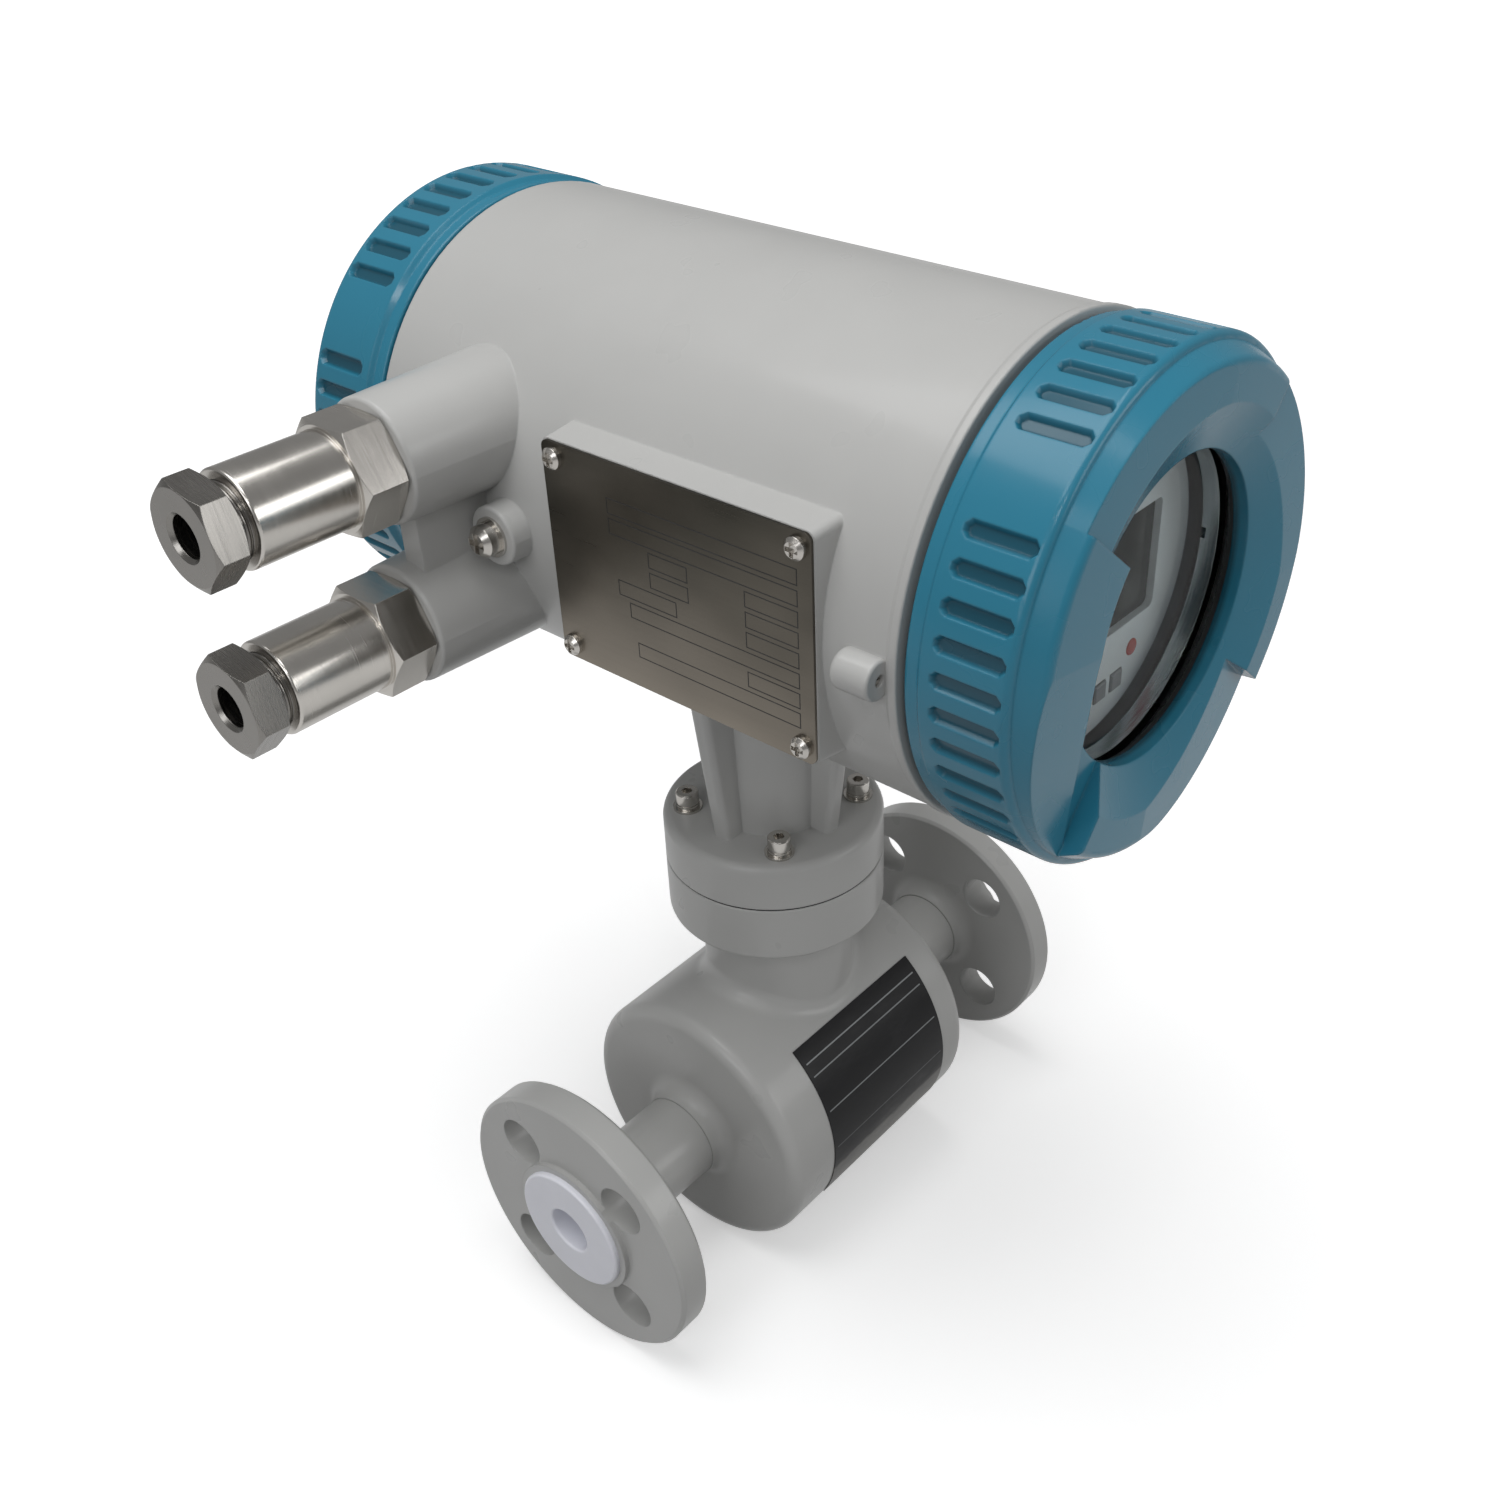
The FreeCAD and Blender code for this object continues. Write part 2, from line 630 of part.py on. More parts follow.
def nameplate_pad():
    """Drafted pad that carries the nameplate."""
    root_x = -HOUSING_R * 0.6
    centre = V(PLATE_X, PLATE_CENTRE_Y, CONVERTER_Z)
    face = outline(rectangle(PLATE_WIDTH + 0.6, PLATE_HEIGHT + 0.6, PLATE_CORNER_R),
                   lambda a, b: centre + Y * a + Z * b)
    run = root_x - PLATE_X
    root = outline(rectangle(PLATE_WIDTH + PAD_DRAFT * 2, PLATE_HEIGHT + PAD_DRAFT * 2, PLATE_CORNER_R),
                   lambda a, b: centre + X * run + Y * a + Z * b)
    return Part.makeLoft([face, root], True, True)


def lock_boss():
    """Small boss for the cover's locking screw, half sunk in the barrel."""
    front = V(LOCK_BOSS_X, LOCK_BOSS_FRONT_Y, CONVERTER_Z)
    return turned([(0, 0), (LOCK_BOSS_R, 0, 0.8), (LOCK_BOSS_R, LOCK_BOSS_LENGTH, 2.0), (0, LOCK_BOSS_LENGTH)],
                  front, Y)


def converter_housing():
    """One casting: barrel, column, upper neck plate, bosses, web and nameplate pad."""
    plate, column = neck_column()
    body = joined(barrel(), column + entry_bosses() + [nameplate_pad(), lock_boss(), plate])
    cuts = [
        rod(CAVITY_R, on_axis(HOUSING_FRONT_Y - 1), on_axis(PARTITION_Y)),
        rod(CAVITY_R, on_axis(PARTITION_Y + PARTITION_T), on_axis(HOUSING_REAR_Y + 1)),
        rod(CABLE_WAY_R, V(), Z * (CONVERTER_Z - CAVITY_R + 2)),
    ]
    wire_way = radial(CAVITY_R - WIRE_WAY_R * 1.4, -90, PARTITION_Y - 1)
    cuts.append(rod(WIRE_WAY_R, wire_way, wire_way + Y * (PARTITION_T + 2)))
    for height in ENTRY_HEIGHTS:
        mouth = V(ENTRY_END_X - 1, ENTRY_Y, height)
        cuts.append(rod(GLAND_THREAD_R, mouth, V(-HOUSING_R * 0.5, ENTRY_Y, height)))
    for place in neck_screw_places():
        cuts.append(rod(SCREW_R, place + Z * NECK_JOINT_Z, place + Z * (UPPER_PLATE_TOP_Z + 1)))
    for place in plate_screw_places():
        cuts.append(rod(PLATE_SCREW_R, place, place + X * PLATE_SCREW_LENGTH))
    ground = V(GROUND_END_X, GROUND_Y, CONVERTER_Z - 1)
    cuts.append(rod(GROUND_SCREW_R, ground - X, ground + X * GROUND_GRIP))
    lock = V(LOCK_BOSS_X, LOCK_BOSS_FRONT_Y, CONVERTER_Z)
    cuts.append(rod(LOCK_SCREW_R, lock - Y, lock + Y * (LOCK_BOSS_LENGTH - 2)))
    return body.cut(cuts)


def plate_screw_places():
    """Nameplate screw axes, on the pad's face."""
    half_w = PLATE_WIDTH / 2 - PLATE_INSET
    half_h = PLATE_HEIGHT / 2 - PLATE_INSET
    return [V(PLATE_X, PLATE_CENTRE_Y + a * half_w, CONVERTER_Z + b * half_h)
            for a in (-1, 1) for b in (-1, 1)]


def nameplate():
    """Thin steel plate on the pad."""
    centre = V(PLATE_X - PLATE_T, PLATE_CENTRE_Y, CONVERTER_Z)
    sheet = extruded(rectangle(PLATE_WIDTH, PLATE_HEIGHT, PLATE_CORNER_R),
                     lambda a, b: centre + Y * a + Z * b, X * PLATE_T)
    return sheet.cut([rod(PLATE_SCREW_R, place - X * 2, place + X) for place in plate_screw_places()])


def pan_screw(seat, head_r, head_h, shank_r, grip):
    """Pan-head screw with a cross recess, driven towards +X from its seat."""
    head = turned([(0, 0), (head_r, 0), (head_r * 0.97, head_h * 0.55), (head_r * 0.66, head_h), (0, head_h)],
                  seat, X * -1)
    shank = rod(shank_r, seat, seat + X * grip)
    arm = head_r * 0.62
    slot = head_r * 0.2
    top = seat - X * (head_h + 0.5)
    depth = head_h * 0.45 + 0.5
    cross = block(top + V(0, -arm, -slot), top + V(depth, arm, slot))
    bar = block(top + V(0, -slot, -arm), top + V(depth, slot, arm))
    return head.fuse(shank).cut([cross, bar])


def nameplate_screws():
    """Four pan-head screws that hold the nameplate."""
    return Part.makeCompound([
        pan_screw(place - X * PLATE_T, PAN_HEAD_R, PAN_HEAD_H, PLATE_SCREW_R, PLATE_SCREW_LENGTH + PLATE_T)
        for place in plate_screw_places()])


def ground_seat():
    """Centre of the ground boss's end face."""
    return V(GROUND_END_X, GROUND_Y, CONVERTER_Z - 1)


def ground_washer():
    """Flat washer on the ground boss."""
    seat = ground_seat()
    return tube(GROUND_SCREW_R, GROUND_WASHER_R, seat - X * WASHER_T, seat)


def ground_spring_washer():
    """Split spring washer under the ground screw's head."""
    seat = ground_seat() - X * WASHER_T
    ring = tube(GROUND_SCREW_R, GROUND_HEAD_R, seat - X * SPRING_WASHER_T, seat)
    corner = seat - X * SPRING_WASHER_T
    split = block(corner + V(0, -0.3, 0), corner + V(SPRING_WASHER_T, 0.3, GROUND_HEAD_R + 1))
    return ring.cut(split)


def ground_screw():
    """External ground screw."""
    stack = WASHER_T + SPRING_WASHER_T
    seat = ground_seat() - X * stack
    return pan_screw(seat, GROUND_HEAD_R, GROUND_HEAD_H, GROUND_SCREW_R, GROUND_GRIP + stack)


def cover_lock_screw():
    """Headless locking screw, run back inside its boss."""
    tip = V(LOCK_BOSS_X, LOCK_BOSS_FRONT_Y + 1.0, CONVERTER_Z)
    screw = rod(LOCK_SCREW_R, tip, tip + Y * (LOCK_BOSS_LENGTH - 3))
    slot_low = tip + V(-LOCK_SCREW_R, -1, -0.25)
    return screw.cut(block(slot_low, tip + V(LOCK_SCREW_R, 0.8, 0.25)))


# --- Screw covers -------------------------------------------------------------------------

def groove(angle_deg, start_y, direction):
    """Tool volume of one drafted finger groove, laid in a cover's raised ring."""
    side = radial(1, angle_deg + 90) - PITCH_CENTRE
    middle = start_y + direction * GROOVE_LENGTH / 2

    def ring(radius, growth):
        half_w = GROOVE_HALF_WIDTH + growth
        half_l = GROOVE_LENGTH / 2 + growth
        corner = GROOVE_CORNER + growth * 0.5
        quarter = ((half_w, half_l - corner), (half_w - corner, half_l))
        points = []
        for a, b in ((1, 1), (-1, 1), (-1, -1), (1, -1)):
            pair = quarter if a == b else quarter[::-1]
            points += [radial(radius, angle_deg, middle + b * q[1]) + side * (a * q[0]) for q in pair]
        return points

    return drafted(ring(GRIP_R - GROOVE_DEPTH, -GROOVE_DRAFT),
                   ring(GRIP_R + GRIP_RISE, GROOVE_DRAFT * GRIP_RISE / GROOVE_DEPTH))


def grooves(band_y, direction, first_deg):
    """Finger grooves in equal groups round a cover's band."""
    group_step = 360 / GROOVE_GROUPS
    start_y = band_y + direction * GROOVE_START
    return [groove(first_deg + group * group_step + i * GROOVE_PITCH_DEG, start_y, direction)
            for group in range(GROOVE_GROUPS) for i in range(GROOVES_PER_GROUP)]


def pie(start_deg, span_deg, low_y, high_y):
    """Sector of a disc about the converter's axis, wider than any cover."""
    reach = COVER_R * 1.4
    rim = [radial(reach, start_deg + span_deg * share) for share in (0, 0.5, 1)]
    points = [(0, CONVERTER_Z)] + [(point.x, point.z) for point in rim]
    return extruded(points, lambda a, b: V(a, low_y, b), Y * (high_y - low_y))


def lug(index):
    """One grip lug: a flat crest, then a ramp down to its low end."""
    start = LUG_START_DEG + index * LUG_SPAN_DEG
    bend = start + LUG_FLAT_DEG
    root_y = FRONT_FACE_Y + 1
    crest_y = FRONT_FACE_Y - LUG_HEIGHT
    crest = pie(start, LUG_FLAT_DEG, crest_y, root_y)
    ramp_run = LUG_R * sin(radians(LUG_SPAN_DEG - LUG_FLAT_DEG))
    slope = (LUG_HEIGHT - LUG_LOW_HEIGHTS[index]) / ramp_run
    outward = radial(1, bend) - PITCH_CENTRE
    along = radial(1, bend + 90) - PITCH_CENTRE
    reach = LUG_R * 1.1
    profile = [(0, -1), (0, LUG_HEIGHT), (reach, LUG_HEIGHT - slope * reach), (reach, -1)]
    base = on_axis(FRONT_FACE_Y)
    ramp = extruded(profile, lambda a, b: base + along * a - Y * b, outward * reach)
    ramp = ramp.common(pie(bend, LUG_SPAN_DEG - LUG_FLAT_DEG, crest_y - 1, root_y))
    ring = turned([(WINDOW_R, -1), (WINDOW_R, LUG_HEIGHT), (LUG_R, LUG_HEIGHT, LUG_ROUNDING),
                   (LUG_R + LUG_DRAFT, 0), (LUG_R + LUG_DRAFT, -1)], on_axis(FRONT_FACE_Y), Y * -1)
    solid = crest.fuse(ramp).removeSplitter().common(ring)
    if index == WIDE_LUG:
        low = V(-WINDOW_R, crest_y - 1, CONVERTER_Z - LUG_R - 1)
        return solid.cut(block(low, V(0, root_y + 1, CONVERTER_Z)))
    dish_depth = LUG_HEIGHT - DISH_HEIGHT
    dish = turned([(0, DISH_HEIGHT), (WINDOW_R, DISH_HEIGHT), (DISH_OUTER_R, LUG_HEIGHT),
                   (DISH_OUTER_R + dish_depth, LUG_HEIGHT + dish_depth), (0, LUG_HEIGHT + dish_depth)],
                  on_axis(FRONT_FACE_Y), Y * -1)
    return solid.cut(dish)


def front_cover():
    """Screw cover with a window, a grooved grip ring and four grip lugs."""
    front = FRONT_FACE_Y
    profile = [
        (SPIGOT_BORE_R, FRONT_COVER_Y + SPIGOT_LENGTH),
        (SPIGOT_R, FRONT_COVER_Y + SPIGOT_LENGTH, 0.8),
        (SPIGOT_R, FRONT_COVER_Y),
        (COVER_R, FRONT_COVER_Y, 0.8),
        (COVER_R, FRONT_COVER_Y - PLAIN_EDGE),
        (GRIP_R, FRONT_COVER_Y - PLAIN_EDGE - GRIP_RISE),
        (GRIP_R, front, COVER_EDGE_ROUNDING),
        (WINDOW_R, front),
        (WINDOW_R, GLASS_SEAT_Y),
        (SEAT_R, GLASS_SEAT_Y),
        (SEAT_R, RETAINER_BACK_Y),
        (SPIGOT_BORE_R, RETAINER_BACK_Y + 5),
    ]
    body = turned(profile, on_axis(0), Y).cut(grooves(FRONT_COVER_Y, -1, FRONT_GROOVES_START_DEG))
    lugs = [lug(i) for i in range(len(LUG_LOW_HEIGHTS))]
    return one_solid(body.fuse(lugs).removeSplitter())


def rear_cover():
    """Plain screw cover over the terminals."""
    inner_y = REAR_FACE_Y - COVER_END_T
    profile = [
        (0, inner_y),
        (SPIGOT_BORE_R, inner_y, 3.0),
        (SPIGOT_BORE_R, REAR_COVER_Y - SPIGOT_LENGTH),
        (SPIGOT_R, REAR_COVER_Y - SPIGOT_LENGTH, 0.8),
        (SPIGOT_R, REAR_COVER_Y),
        (COVER_R, REAR_COVER_Y, 0.8),
        (COVER_R, REAR_COVER_Y + PLAIN_EDGE),
        (GRIP_R, REAR_COVER_Y + PLAIN_EDGE + GRIP_RISE),
        (GRIP_R, REAR_FACE_Y - REAR_CORNER, 2.0),
        (REAR_END_R, REAR_FACE_Y, 2.0),
        (0, REAR_FACE_Y),
    ]
    body = turned(profile, on_axis(0), Y)
    return one_solid(body.cut(grooves(REAR_COVER_Y, 1, REAR_GROOVES_START_DEG)))


def o_ring(centre_y):
    """Cover seal in the gap between a cover and the barrel."""
    centre_r = SPIGOT_R + RUNNING_GAP + O_RING_R
    corners = []
    for i in range(O_RING_SIDES):
        angle = radians(360 / O_RING_SIDES * (i + 0.5))
        corners.append((centre_r + O_RING_R * cos(angle), O_RING_R * sin(angle)))
    return turned(corners, on_axis(centre_y), Y)


def window_gasket():
    """Flat black gasket between the cover's lip and the glass."""
    return tube(SEAT_R - WINDOW_GASKET_LAND, SEAT_R, on_axis(GLASS_SEAT_Y), on_axis(GLASS_FRONT_Y))


def window_glass():
    """Round sight glass."""
    return rod(SEAT_R, on_axis(GLASS_FRONT_Y), on_axis(GLASS_BACK_Y))


def glass_retainer():
    """Threaded ring that holds the glass in the cover, with two spanner notches."""
    profile = [
        (RETAINER_R, GLASS_BACK_Y),
        (SEAT_R, GLASS_BACK_Y),
        (SEAT_R, RETAINER_BACK_Y),
        (RETAINER_R, RETAINER_BACK_Y, 0.6),
    ]
    ring = turned(profile, on_axis(0), Y)
    low = V(-SEAT_R - 1, RETAINER_BACK_Y - 1.5, CONVERTER_Z - 1.5)
    return ring.cut(block(low, V(SEAT_R + 1, RETAINER_BACK_Y + 1, CONVERTER_Z + 1.5)))


# --- Display ------------------------------------------------------------------------------

def display_bezel():
    """White moulded display front: a shallow cup with openings for the screen, lamp and keys."""
    profile = [
        (0, 0), (DISPLAY_R, 0, 1.0), (DISPLAY_R, DISPLAY_DEPTH), (DISPLAY_R - DISPLAY_WALL, DISPLAY_DEPTH),
        (DISPLAY_R - DISPLAY_WALL, DISPLAY_WALL), (0, DISPLAY_WALL),
    ]
    cup = turned(profile, on_axis(DISPLAY_Y), Y)
    centre_z = CONVERTER_Z + LCD_BOTTOM + LCD_HEIGHT / 2
    screen = extruded(rectangle(LCD_WIDTH, LCD_HEIGHT, 2.0),
                      lambda a, b: V(a, DISPLAY_Y - 1, centre_z + b), Y * (DISPLAY_WALL + 2))
    lamp = V(LAMP_X, DISPLAY_Y - 1, CONVERTER_Z - LAMP_DROP)
    cuts = [screen, rod(LAMP_R, lamp, lamp + Y * (DISPLAY_WALL + 2))]
    half = KEY_SIZE / 2 + KEY_GAP
    for centre in key_places():
        cuts.append(block(centre + V(-half, -1, -half), centre + V(half, DISPLAY_WALL + 1, half)))
    return cup.cut(cuts)


def key_places():
    """Centres of the display keys, on the bezel's face."""
    first = -(KEY_COUNT - 1) / 2 * KEY_SPACING
    return [V(first + i * KEY_SPACING, DISPLAY_Y, CONVERTER_Z - KEY_DROP) for i in range(KEY_COUNT)]


def display_key(centre):
    """Square push key with a rear stem towards its switch."""
    half = KEY_SIZE / 2
    cap = block(centre + V(-half, -KEY_PROUD, -half), centre + V(half, KEY_LENGTH - KEY_PROUD, half))
    front = [edge for edge in cap.Edges if abs(edge.BoundBox.YMax - (centre.y - KEY_PROUD)) < 0.01]
    return cap.makeChamfer(0.4, front)


def key_switches():
    """Tactile switches on the display board behind the keys."""
    switches = []
    for centre in key_places():
        front = centre.y - KEY_PROUD + KEY_LENGTH + KEY_TRAVEL + KEY_GAP
        half = KEY_SIZE / 2
        switches.append(block(V(centre.x - half, front, centre.z - half),
                              V(centre.x + half, DISPLAY_BOARD_Y, centre.z + half)))
    return Part.makeCompound(switches)


def lcd_module():
    """Screen behind the bezel's opening, on spacers from the display board."""
    margin = LCD_BORDER
    front = DISPLAY_Y + DISPLAY_WALL
    bottom = CONVERTER_Z + LCD_BOTTOM
    low = V(-LCD_WIDTH / 2 - margin, front, bottom - margin)
    high = V(LCD_WIDTH / 2 + margin, front + LCD_T, bottom + LCD_HEIGHT + margin)
    panel = block(low, high)
    feet = []
    for a in (-1, 1):
        foot = V(a * LCD_WIDTH * 0.35, high.y, CONVERTER_Z)
        feet.append(block(foot + V(-2, 0, -6), V(foot.x + 2, DISPLAY_BOARD_Y, foot.z + 6)))
    return panel.fuse(feet)


def indicator_lamp():
    """Round red lamp in the bezel, standing on the display board."""
    base = V(LAMP_X, DISPLAY_Y, CONVERTER_Z - LAMP_DROP)
    return turned([(0, -0.4), (LAMP_R, -0.4, 0.4), (LAMP_R, DISPLAY_DEPTH), (0, DISPLAY_DEPTH)], base, Y)


def board(radius, y):
    """Round circuit board clamped on the four posts."""
    disc = rod(radius, on_axis(y), on_axis(y + BOARD_T))
    holes = [rod(POST_R, V(place.x, y - 1, place.z), V(place.x, y + BOARD_T + 1, place.z))
             for place in post_places()]
    return disc.cut(holes)


def display_board():
    """Board behind the display, seated on the ends of the posts."""
    return rod(DISPLAY_R - DISPLAY_WALL, on_axis(DISPLAY_BOARD_Y), on_axis(DISPLAY_BOARD_Y + BOARD_T))


def post_places():
    """Post axes on the partition."""
    return [V(a * POST_X, PARTITION_Y, CONVERTER_Z + b * POST_Z) for a in (-1, 1) for b in (-1, 1)]


def board_posts():
    """Four posts from the partition to the display board."""
    return Part.makeCompound([rod(POST_R, place, V(place.x, DISPLAY_BOARD_Y + BOARD_T, place.z))
                              for place in post_places()])


def transformer():
    """Supply transformer on the power board."""
    size = V(*TRANSFORMER)
    low = V(-size.x / 2, POWER_BOARD_Y + BOARD_T, CONVERTER_Z - size.z / 2)
    return block(low, low + V(size.x, size.y, size.z))


def capacitors():
    """Two smoothing capacitors on the main board."""
    cans = []
    for side in (-1, 1):
        base = V(side * CAPACITOR_R * 1.5, MAIN_BOARD_Y + BOARD_T, CONVERTER_Z)
        cans.append(turned([(0, 0), (CAPACITOR_R, 0), (CAPACITOR_R, CAPACITOR_HEIGHT - 0.8),
                            (CAPACITOR_R - 0.8, CAPACITOR_HEIGHT), (0, CAPACITOR_HEIGHT)],
                           base, Y))
    return Part.makeCompound(cans)


# --- Terminal compartment -----------------------------------------------------------------

def terminal_board():
    """Insulating board on the rear of the partition."""
    width, height = TERMINAL_BOARD_SIZE
    base = on_axis(PARTITION_Y + PARTITION_T)
    return extruded(rectangle(width, height, 4.0), lambda a, b: base + X * a + Z * b, Y * TERMINAL_BOARD_T)


def terminal_rows():
    """Centre heights of the two terminal rows."""
    return [CONVERTER_Z + side * TERMINAL_ROW_GAP / 2 for side in (-1, 1)]


def terminal_blocks():
    """Two rows of screw terminals with wire ways below."""
    base_y = PARTITION_Y + PARTITION_T + TERMINAL_BOARD_T
    width = TERMINAL_COUNT * TERMINAL_PITCH
    rows = []
    for height in terminal_rows():
        low = V(-width / 2, base_y, height - TERMINAL_HEIGHT / 2)
        row = block(low, low + V(width, TERMINAL_DEPTH, TERMINAL_HEIGHT))
        wells = []
        for i in range(TERMINAL_COUNT):
            centre = V(low.x + (i + 0.5) * TERMINAL_PITCH, base_y + TERMINAL_DEPTH, height)
            wells.append(rod(2.4, centre - Y * 5, centre + Y))
        rows.append(row.cut(wells))
    return Part.makeCompound(rows)


def terminal_screws():
    """Slotted clamp screws in the terminal rows."""
    base_y = PARTITION_Y + PARTITION_T + TERMINAL_BOARD_T + TERMINAL_DEPTH
    screws = []
    for height in terminal_rows():
        for i in range(TERMINAL_COUNT):
            x = (i + 0.5 - TERMINAL_COUNT / 2) * TERMINAL_PITCH
            top = V(x, base_y - 2.5, height)
            screw = rod(2.2, top - Y * 2.5, top)
            screws.append(screw.cut(block(top + V(-2.2, -0.8, -0.3), top + V(2.2, 0, 0.3))))
    return Part.makeCompound(screws)


# --- Cable glands -------------------------------------------------------------------------

def gland_body(height):
    """Gland body: threaded shank in the boss, hexagon, turned sleeve with a stepped socket."""
    origin = V(ENTRY_END_X, ENTRY_Y, height)
    hexagon_bar = hexagon(GLAND_HEX, origin, -GLAND_HEX_T)
    sleeve = turned([(0, GLAND_HEX_T - 1), (GLAND_BODY_R, GLAND_HEX_T - 1),
                     (GLAND_BODY_R, GLAND_HEX_T + GLAND_BODY_LENGTH, 0.8),
                     (0, GLAND_HEX_T + GLAND_BODY_LENGTH)], origin, X * -1)
    shank = rod(GLAND_THREAD_R, origin - X, origin + X * GLAND_THREAD_LENGTH)
    socket = rod(GLAND_SOCKET_R, V(GLAND_MOUTH_X - 1, ENTRY_Y, height),
                 V(GLAND_MOUTH_X + GLAND_SOCKET_DEPTH, ENTRY_Y, height))
    way = rod(SEAL_BORE_R + 1, V(GLAND_MOUTH_X, ENTRY_Y, height), origin + X * (GLAND_THREAD_LENGTH + 1))
    return hexagon_bar.fuse([sleeve, shank]).removeSplitter().cut([socket, way])


def gland_seal(height):
    """Rubber sleeve that grips the cable."""
    start = V(THRUST_X + RUNNING_GAP + THRUST_T + TIGHTEN_TRAVEL + RUNNING_GAP, ENTRY_Y, height)
    end = V(GLAND_MOUTH_X + GLAND_SOCKET_DEPTH, ENTRY_Y, height)
    return tube(SEAL_BORE_R, GLAND_SOCKET_R, start, end)


def thrust_washer(height):
    """Washer between the gland nut and the seal."""
    face = V(THRUST_X + RUNNING_GAP, ENTRY_Y, height)
    return tube(NUT_BORE_R, GLAND_SOCKET_R - RUNNING_GAP, face, face + X * THRUST_T)


def gland_nut(height):
    """Hollow hexagon screw that closes the gland."""
    shoulder = V(NUT_SHOULDER_X, ENTRY_Y, height)
    head = hexagon(NUT_HEX, shoulder, -NUT_HEX_T, 12.0)
    shank = turned([(0, -1), (GLAND_SOCKET_R - RUNNING_GAP, -1),
                    (GLAND_SOCKET_R - RUNNING_GAP, NUT_SHANK_LENGTH, 0.6), (0, NUT_SHANK_LENGTH)], shoulder, X)
    bore = turned([(0, -NUT_HEX_T - 1), (NUT_BORE_R + 2, -NUT_HEX_T - 1), (NUT_BORE_R, -NUT_HEX_T + 1),
                   (NUT_BORE_R, NUT_SHANK_LENGTH + 1), (0, NUT_SHANK_LENGTH + 1)], shoulder, X)
    return head.fuse(shank).removeSplitter().cut(bore)


# --- Label --------------------------------------------------------------------------------

def sensor_label():
    """Black sticker wrapped on the front of the sensor's shell."""
    band = tube(SHELL_R + LABEL_GLUE_T, SHELL_R + LABEL_GLUE_T + LABEL_T, X * LABEL_START_X, X * LABEL_END_X)
    reach = SHELL_R * 2
    corners = [(0, 0)]
    for share in (0, 0.5, 1):
        angle = radians(LABEL_TOP_DEG + (LABEL_BOTTOM_DEG - LABEL_TOP_DEG) * share)
        corners.append((reach * cos(angle), reach * sin(angle)))
    sector = extruded(corners, lambda a, b: V(LABEL_START_X, a, b), X * (LABEL_END_X - LABEL_START_X))
    return band.common(sector)


# --- The whole object ---------------------------------------------------------------------

def build():
    """Every sub-part, by node name."""
    upper, lower = ENTRY_HEIGHTS
    parts = {
        "measuring_tube": measuring_tube(),
        "inlet_flange": flange(-1),
        "outlet_flange": flange(1),
        "liner": liner(),
        "electrode_front": electrode(-1),
        "electrode_rear": electrode(1),
        "electrode_bush_front": electrode_bush(-1),
        "electrode_bush_rear": electrode_bush(1),
        "upper_coil": coil(1),
        "lower_coil": coil(-1),
        "upper_pole": pole(1),
        "lower_pole": pole(-1),
        "magnet_yoke": magnet_yoke(),
        "sensor_housing": sensor_housing(),
        "sensor_label": sensor_label(),
        "neck_gasket": neck_gasket(),
        "neck_screws": neck_screws(),
        "neck_washers": neck_washers(),
        "neck_spring_washers": neck_spring_washers(),
        "converter_housing": converter_housing(),
        "nameplate": nameplate(),
        "nameplate_screws": nameplate_screws(),
        "ground_screw": ground_screw(),
        "ground_washer": ground_washer(),
        "ground_spring_washer": ground_spring_washer(),
        "cover_lock_screw": cover_lock_screw(),
        "front_cover": front_cover(),
        "front_o_ring": o_ring(HOUSING_FRONT_Y - COVER_GAP / 2),
        "window_gasket": window_gasket(),
        "window_glass": window_glass(),
        "glass_retainer": glass_retainer(),
        "rear_cover": rear_cover(),
        "rear_o_ring": o_ring(HOUSING_REAR_Y + COVER_GAP / 2),
        "display_bezel": display_bezel(),
        "lcd_module": lcd_module(),
        "indicator_lamp": indicator_lamp(),
        "key_switches": key_switches(),
        "display_board": display_board(),
        "main_board": board(BOARD_R, MAIN_BOARD_Y),
        "power_board": board(BOARD_R, POWER_BOARD_Y),
        "board_posts": board_posts(),
        "transformer": transformer(),
        "capacitors": capacitors(),
        "terminal_board": terminal_board(),
        "terminal_blocks": terminal_blocks(),
        "terminal_screws": terminal_screws(),
        "gland_body_upper": gland_body(upper),
        "gland_body_lower": gland_body(lower),
        "gland_seal_upper": gland_seal(upper),
        "gland_seal_lower": gland_seal(lower),
        "thrust_washer_upper": thrust_washer(upper),
        "thrust_washer_lower": thrust_washer(lower),
        "gland_nut_upper": gland_nut(upper),
        "gland_nut_lower": gland_nut(lower),
    }
    for i, centre in enumerate(key_places()):
        parts["display_key_%d" % (i + 1)] = display_key(centre)
    return parts


os.makedirs("parts", exist_ok=True)
for name, shape in build().items():
    shape.exportStep("parts/%s.step" % name)
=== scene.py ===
# %% [markdown]
# # An electromagnetic flow meter
#
# The meter is a lined pipe piece with two flanges, a drum that hides its magnet, a bolted
# neck and a cast converter with two screw covers, a sight window and two cable glands.
# Its solids come from a CAD model. This lesson gives them paint, metal, rubber and glass,
# and adds the small forms that CAD left plain: threads, etched frames and printed rules.

from math import cos, pi, radians, sin

import bpy
from mathutils import Matrix, Vector


